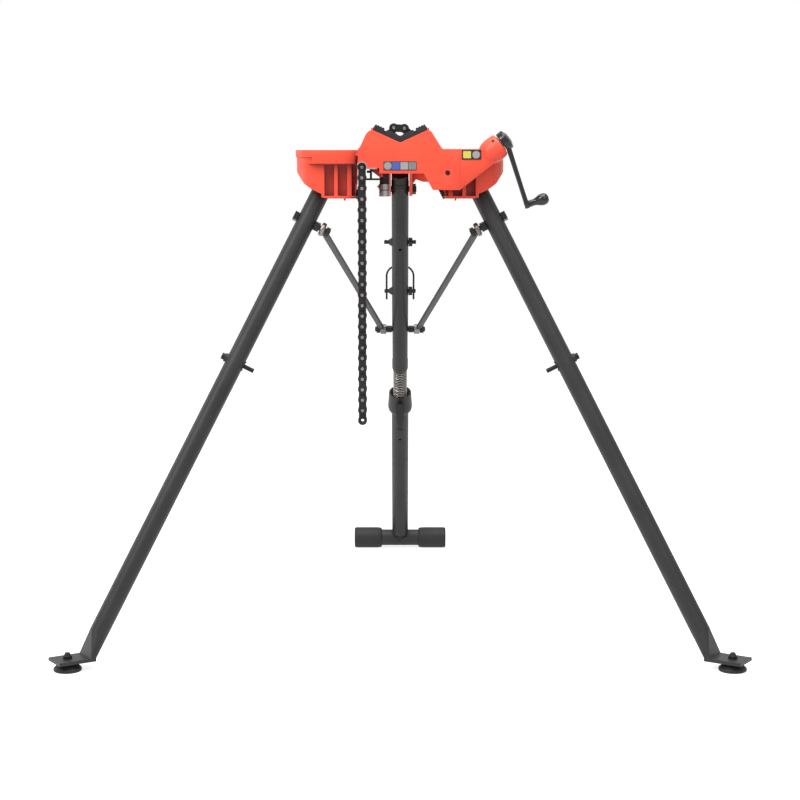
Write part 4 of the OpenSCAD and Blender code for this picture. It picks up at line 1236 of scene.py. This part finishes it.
@dataclass
class RearLeg:
    """Details of the rear leg: thread, bail, plug skirt, caps and weld.

    Attributes:
        shop: gives finishes.
        repeat: makes the thread.
        tube: radius of the upper tube.
        screw_end: distance from the pivot to the thread's lower end.
        screw: the thread's outer radius.
        screw_length: the thread's length.
        screw_lead: the thread's lead.
        bail_at: distance from the pivot to the bail's bolt.
        bail_half: half the bail's width.
        bail_rise: the bail's height over its bolt.
        bail_legs: how far its legs reach below the bolt.
        bail_corner: radius of its two bends.
        bail_gap: how far it stays off the tube.
        wire: the wire's radius.
        wire_end: the radius of the wire's blunted ends.
        foot: radius of the lower tube and of the cross tube.
        bead: the weld's radius.
        ripples: number and share of the bead's two ripples.
        points: points round the weld.
    """

    shop: Workshop
    repeat: Repeater
    tube: float = 16.7
    screw_end: float = 632.0
    screw: float = 14.7
    screw_length: float = 188.0
    screw_lead: float = 4.6
    bail_at: float = 245.0
    bail_half: float = 27.5
    bail_rise: float = 52.0
    bail_legs: float = 18.0
    bail_corner: float = 21.0
    bail_gap: float = 0.4
    wire: float = 2.0
    wire_end: float = 1.2
    foot: float = 18.0
    bead: float = 1.7
    ripples: tuple[Pair, Pair] = ((13, 0.14), (31, 0.07))
    points: int = 72

    def build(self) -> None:
        """Adds every detail."""
        self.repeat.thread("thread_rod", "rear_upper", REAR.along(-self.screw_end), self.screw,
                           self.screw_length, self.screw_lead, ["levelling_screw"])
        self.bail()
        self.skirt()
        self.caps()
        self.tee_weld()

    def skirt(self) -> None:
        """Adds the plug's skirt, which covers the upper tube's end."""
        inner = self.tube + 0.01
        profile = [(inner, 6.0), (17.1, 6.0), (17.2, 18.4), (inner, 18.4), (inner, 6.0)]
        bm = bmesh.new()
        lathe(bm, rounded(profile, 0.1, 2), steps=64)
        self.shop.add("plug_skirt", mesh_from(bm, "plug_skirt", REAR), "rear_upper", Slot.RUBBER, smooth=40)

    def bail(self) -> None:
        """Replaces the wire bail by one smooth bent wire that leans on the tube."""
        tilt = math.asin((self.tube + self.wire + self.bail_gap) / self.bail_rise)
        turn = Matrix.Translation((0, 0, -self.bail_at)) @ Matrix.Rotation(-tilt, 4, "X")
        side = [(self.bail_half, -self.bail_legs), (self.bail_half, 1.0 - self.bail_legs),
                (self.bail_half, 0.0)]
        side += [(self.bail_half - self.bail_corner * (1 - cos_d(a)),
                  self.bail_rise - self.bail_corner * (1 - sin_d(a))) for a in range(0, 91, 9)]
        path = side + [(-x, z) for x, z in reversed(side)]
        radii = [self.wire_end, *[self.wire] * (len(path) - 2), self.wire_end]
        bm = bmesh.new()
        sweep(bm, [turn @ Vector((x, 0, z)) for x, z in path], radii, 14)
        self.shop.add("bail_wire", mesh_from(bm, "bail_wire", REAR), "bail", Slot.BLACK, ["wire_bail"], 60)

    def caps(self) -> None:
        """Replaces the rubber caps by turned ones with round ends."""
        inside = 98.0
        profile = [(18.06, inside), (18.06, 41.2), (20.0, 40.9), (21.6, 42.6), (22.8, 46.2), (22.4, 47.6),
                   (23.0, 49.4), (23.0, inside), (22.4, 101.2), (20.8, 102.9), (0, 103.0)]
        bm = bmesh.new()
        for turn in (math.pi / 2, -math.pi / 2):
            lathe(bm, [(0, inside), *rounded(profile, 1.0, 3)], Matrix.Rotation(turn, 4, "Y"), 64)
        mesh = mesh_from(bm, "cap_bodies", node_middle("rear_foot_caps"))
        self.shop.add("cap_bodies", mesh, "rear_lower", Slot.RUBBER, ["rear_foot_caps"], 50)

    def tee_weld(self) -> None:
        """Adds the bead where the lower tube meets the cross tube."""
        down = -Vector(REAR.z)
        path = []
        for c, s in circle(self.points):
            spoke = (Vector(REAR.x) * c + Vector(REAR.y) * s) * self.foot
            reach = spoke.y * down.y + spoke.z * down.z
            over = spoke.y ** 2 + spoke.z ** 2 - self.foot ** 2
            path.append(spoke - down * (reach + math.sqrt(max(reach * reach - over, 0.0))))
        bm = bmesh.new()
        weld_bead(bm, path, self.bead, self.ripples)
        mesh = mesh_from(bm, "tee_weld", node_middle("rear_foot_tube"))
        self.shop.add("tee_weld", mesh, "rear_lower", Slot.COAT, smooth=60)


@dataclass(frozen=True)
class Lamp:
    """A soft area light.

    Attributes:
        name: its name.
        place: where it stands, in metres.
        size: its width and height in metres.
        power: its power in watts.
        target: what it points at, in metres.
    """

    name: str
    place: Point
    size: Pair
    power: float
    target: Point = (0.0, 0.0, 0.55)

    def build(self) -> None:
        """Adds the light."""
        data = bpy.data.lights.new(self.name, "AREA")
        data.shape = "RECTANGLE"
        data.size, data.size_y = self.size
        data.energy = self.power
        obj = bpy.data.objects.new(self.name, data)
        obj.location = self.place
        way = Vector(self.target) - Vector(self.place)
        obj.rotation_euler = way.to_track_quat("-Z", "Y").to_euler()
        bpy.context.scene.collection.objects.link(obj)


@dataclass
class Studio:
    """Camera, floor, surround and lights, in metres.

    Attributes:
        height: the camera's height.
        back: its distance in front of the vise.
        aside: its place along X.
        pitch: its tilt down in degrees.
        focal: its focal length in pixels of the photograph.
        picture: the photograph's width in pixels.
        sensor: the sensor's width in the camera's own millimetres.
        far: how far the camera sees.
        floor_half: half the floor's width.
        floor_drop: how far the floor lies under the pads.
        paper: how pale the floor is.
        paper_rough: the floor's roughness.
        paper_mirror: strength of the floor's reflection.
        glow: how much the camera sees the floor brighter than it is lit.
        surround: strength of the surround's light.
        lamps: the lights.
    """

    height: float = 0.893
    back: float = 3.472
    aside: float = -0.0002
    pitch: float = 7.396
    focal: float = 1926.0
    picture: float = 800.0
    sensor: float = 36.0
    far: float = 60.0
    floor_half: float = 18.0
    floor_drop: float = 0.0003
    paper: float = 0.74
    paper_rough: float = 0.9
    paper_mirror: float = 0.1
    glow: float = 0.735
    surround: float = 0.36
    lamps: tuple[Lamp, ...] = (
        Lamp("key", (-2.3, -2.7, 3.2), (1.6, 1.6), 88.0),
        Lamp("fill", (1.6, -3.0, 2.4), (1.2, 2.0), 16.0),
        Lamp("top", (0.0, -0.6, 3.2), (2.4, 2.4), 100.0),
        Lamp("left_strip", (-2.4, 0.6, 1.0), (0.6, 2.2), 14.0))

    def camera(self) -> None:
        """Makes the camera at the photograph's place."""
        data = bpy.data.cameras.new("camera")
        data.sensor_width = self.sensor
        data.lens = self.focal * self.sensor / self.picture
        data.clip_end = self.far
        cam = bpy.data.objects.new("camera", data)
        cam.location = (self.aside, SHIFT_Y * MM - self.back, self.height)
        cam.rotation_euler = (math.radians(90 - self.pitch), 0, 0)
        bpy.context.scene.collection.objects.link(cam)
        bpy.context.scene.camera = cam

    @staticmethod
    def _seen(tree: Tree) -> Socket:
        """Tells camera, mirror and see-through rays from the light's own.

        Args:
            tree: the node tree.

        Returns:
            A socket that is 1 for those rays.
        """
        path = tree.nodes.new("ShaderNodeLightPath")
        out = path.outputs["Is Camera Ray"]
        for ray in ("Is Glossy Ray", "Is Transmission Ray"):
            out = maths(tree, "MAXIMUM", out, path.outputs[ray])
        return out

    def floor(self) -> None:
        """Makes the pale floor."""
        corners = [(x * self.floor_half, y * self.floor_half, 0)
                   for x, y in ((-1, -1), (1, -1), (1, 1), (-1, 1))]
        mesh = bpy.data.meshes.new("floor")
        mesh.from_pydata(corners, [], [(0, 1, 2, 3)])
        obj = bpy.data.objects.new("floor", mesh)
        bpy.context.scene.collection.objects.link(obj)
        obj.location = (0, 0, -self.floor_drop)
        mat = bpy.data.materials.new("floor_paper")
        mat.use_nodes = True
        tree = mat.node_tree
        shader = next(n for n in tree.nodes if n.type == "BSDF_PRINCIPLED")
        shader.inputs["Base Color"].default_value = (self.paper, self.paper, self.paper, 1)
        shader.inputs["Roughness"].default_value = self.paper_rough
        shader.inputs["Specular IOR Level"].default_value = self.paper_mirror
        shader.inputs["Emission Color"].default_value = (1, 1, 1, 1)
        glow = maths(tree, "MULTIPLY", self._seen(tree), self.glow)
        tree.links.new(glow, shader.inputs["Emission Strength"])
        mesh.materials.append(mat)

    def world(self) -> None:
        """Makes the white surround."""
        world = bpy.data.worlds.new("surround")
        world.use_nodes = True
        bpy.context.scene.world = world
        tree = world.node_tree
        back = next(n for n in tree.nodes if n.type == "BACKGROUND")
        mix = tree.nodes.new("ShaderNodeMix")
        mix.data_type = "FLOAT"
        mix.inputs["A"].default_value = self.surround
        mix.inputs["B"].default_value = 1.0
        tree.links.new(self._seen(tree), mix.inputs["Factor"])
        tree.links.new(mix.outputs["Result"], back.inputs["Strength"])
        back.inputs["Color"].default_value = (1, 1, 1, 1)

    def build(self) -> None:
        """Sets everything up."""
        bpy.context.scene.view_settings.view_transform = "Standard"
        self.camera()
        self.floor()
        self.world()
        for lamp in self.lamps:
            lamp.build()


def dress_nodes(shop: Workshop) -> None:
    """Gives each CAD node its finish by the record's slot.

    Args:
        shop: holds the finishes.
    """
    for part in frame["record"]["subparts"]:
        mesh = frame["nodes"][part["node"]].data
        mesh.materials.clear()
        mesh.materials.append(shop.materials[Slot(part["material_slot"])])
        mesh.shade_smooth()
        mesh.set_sharp_from_angle(angle=math.radians(SHARP))


def main() -> None:
    """Builds the dressed stand in order."""
    logging.basicConfig(level=logging.INFO, format="%(name)s: %(message)s")
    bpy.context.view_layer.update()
    shop = Workshop()
    shop.open()
    Studio().build()
    dress_nodes(shop)
    SoftEdges(shop).build()
    repeat = Repeater(shop)
    Chain(repeat).build()
    Labels(shop).build()
    Crank(shop).build()
    Casting(shop).build()
    Legs(shop).build()
    BraceEyes(shop).build()
    RearLeg(shop, repeat).build()
    LOG.info("%d pieces made", shop.count)


if __name__ == "__main__":
    main()
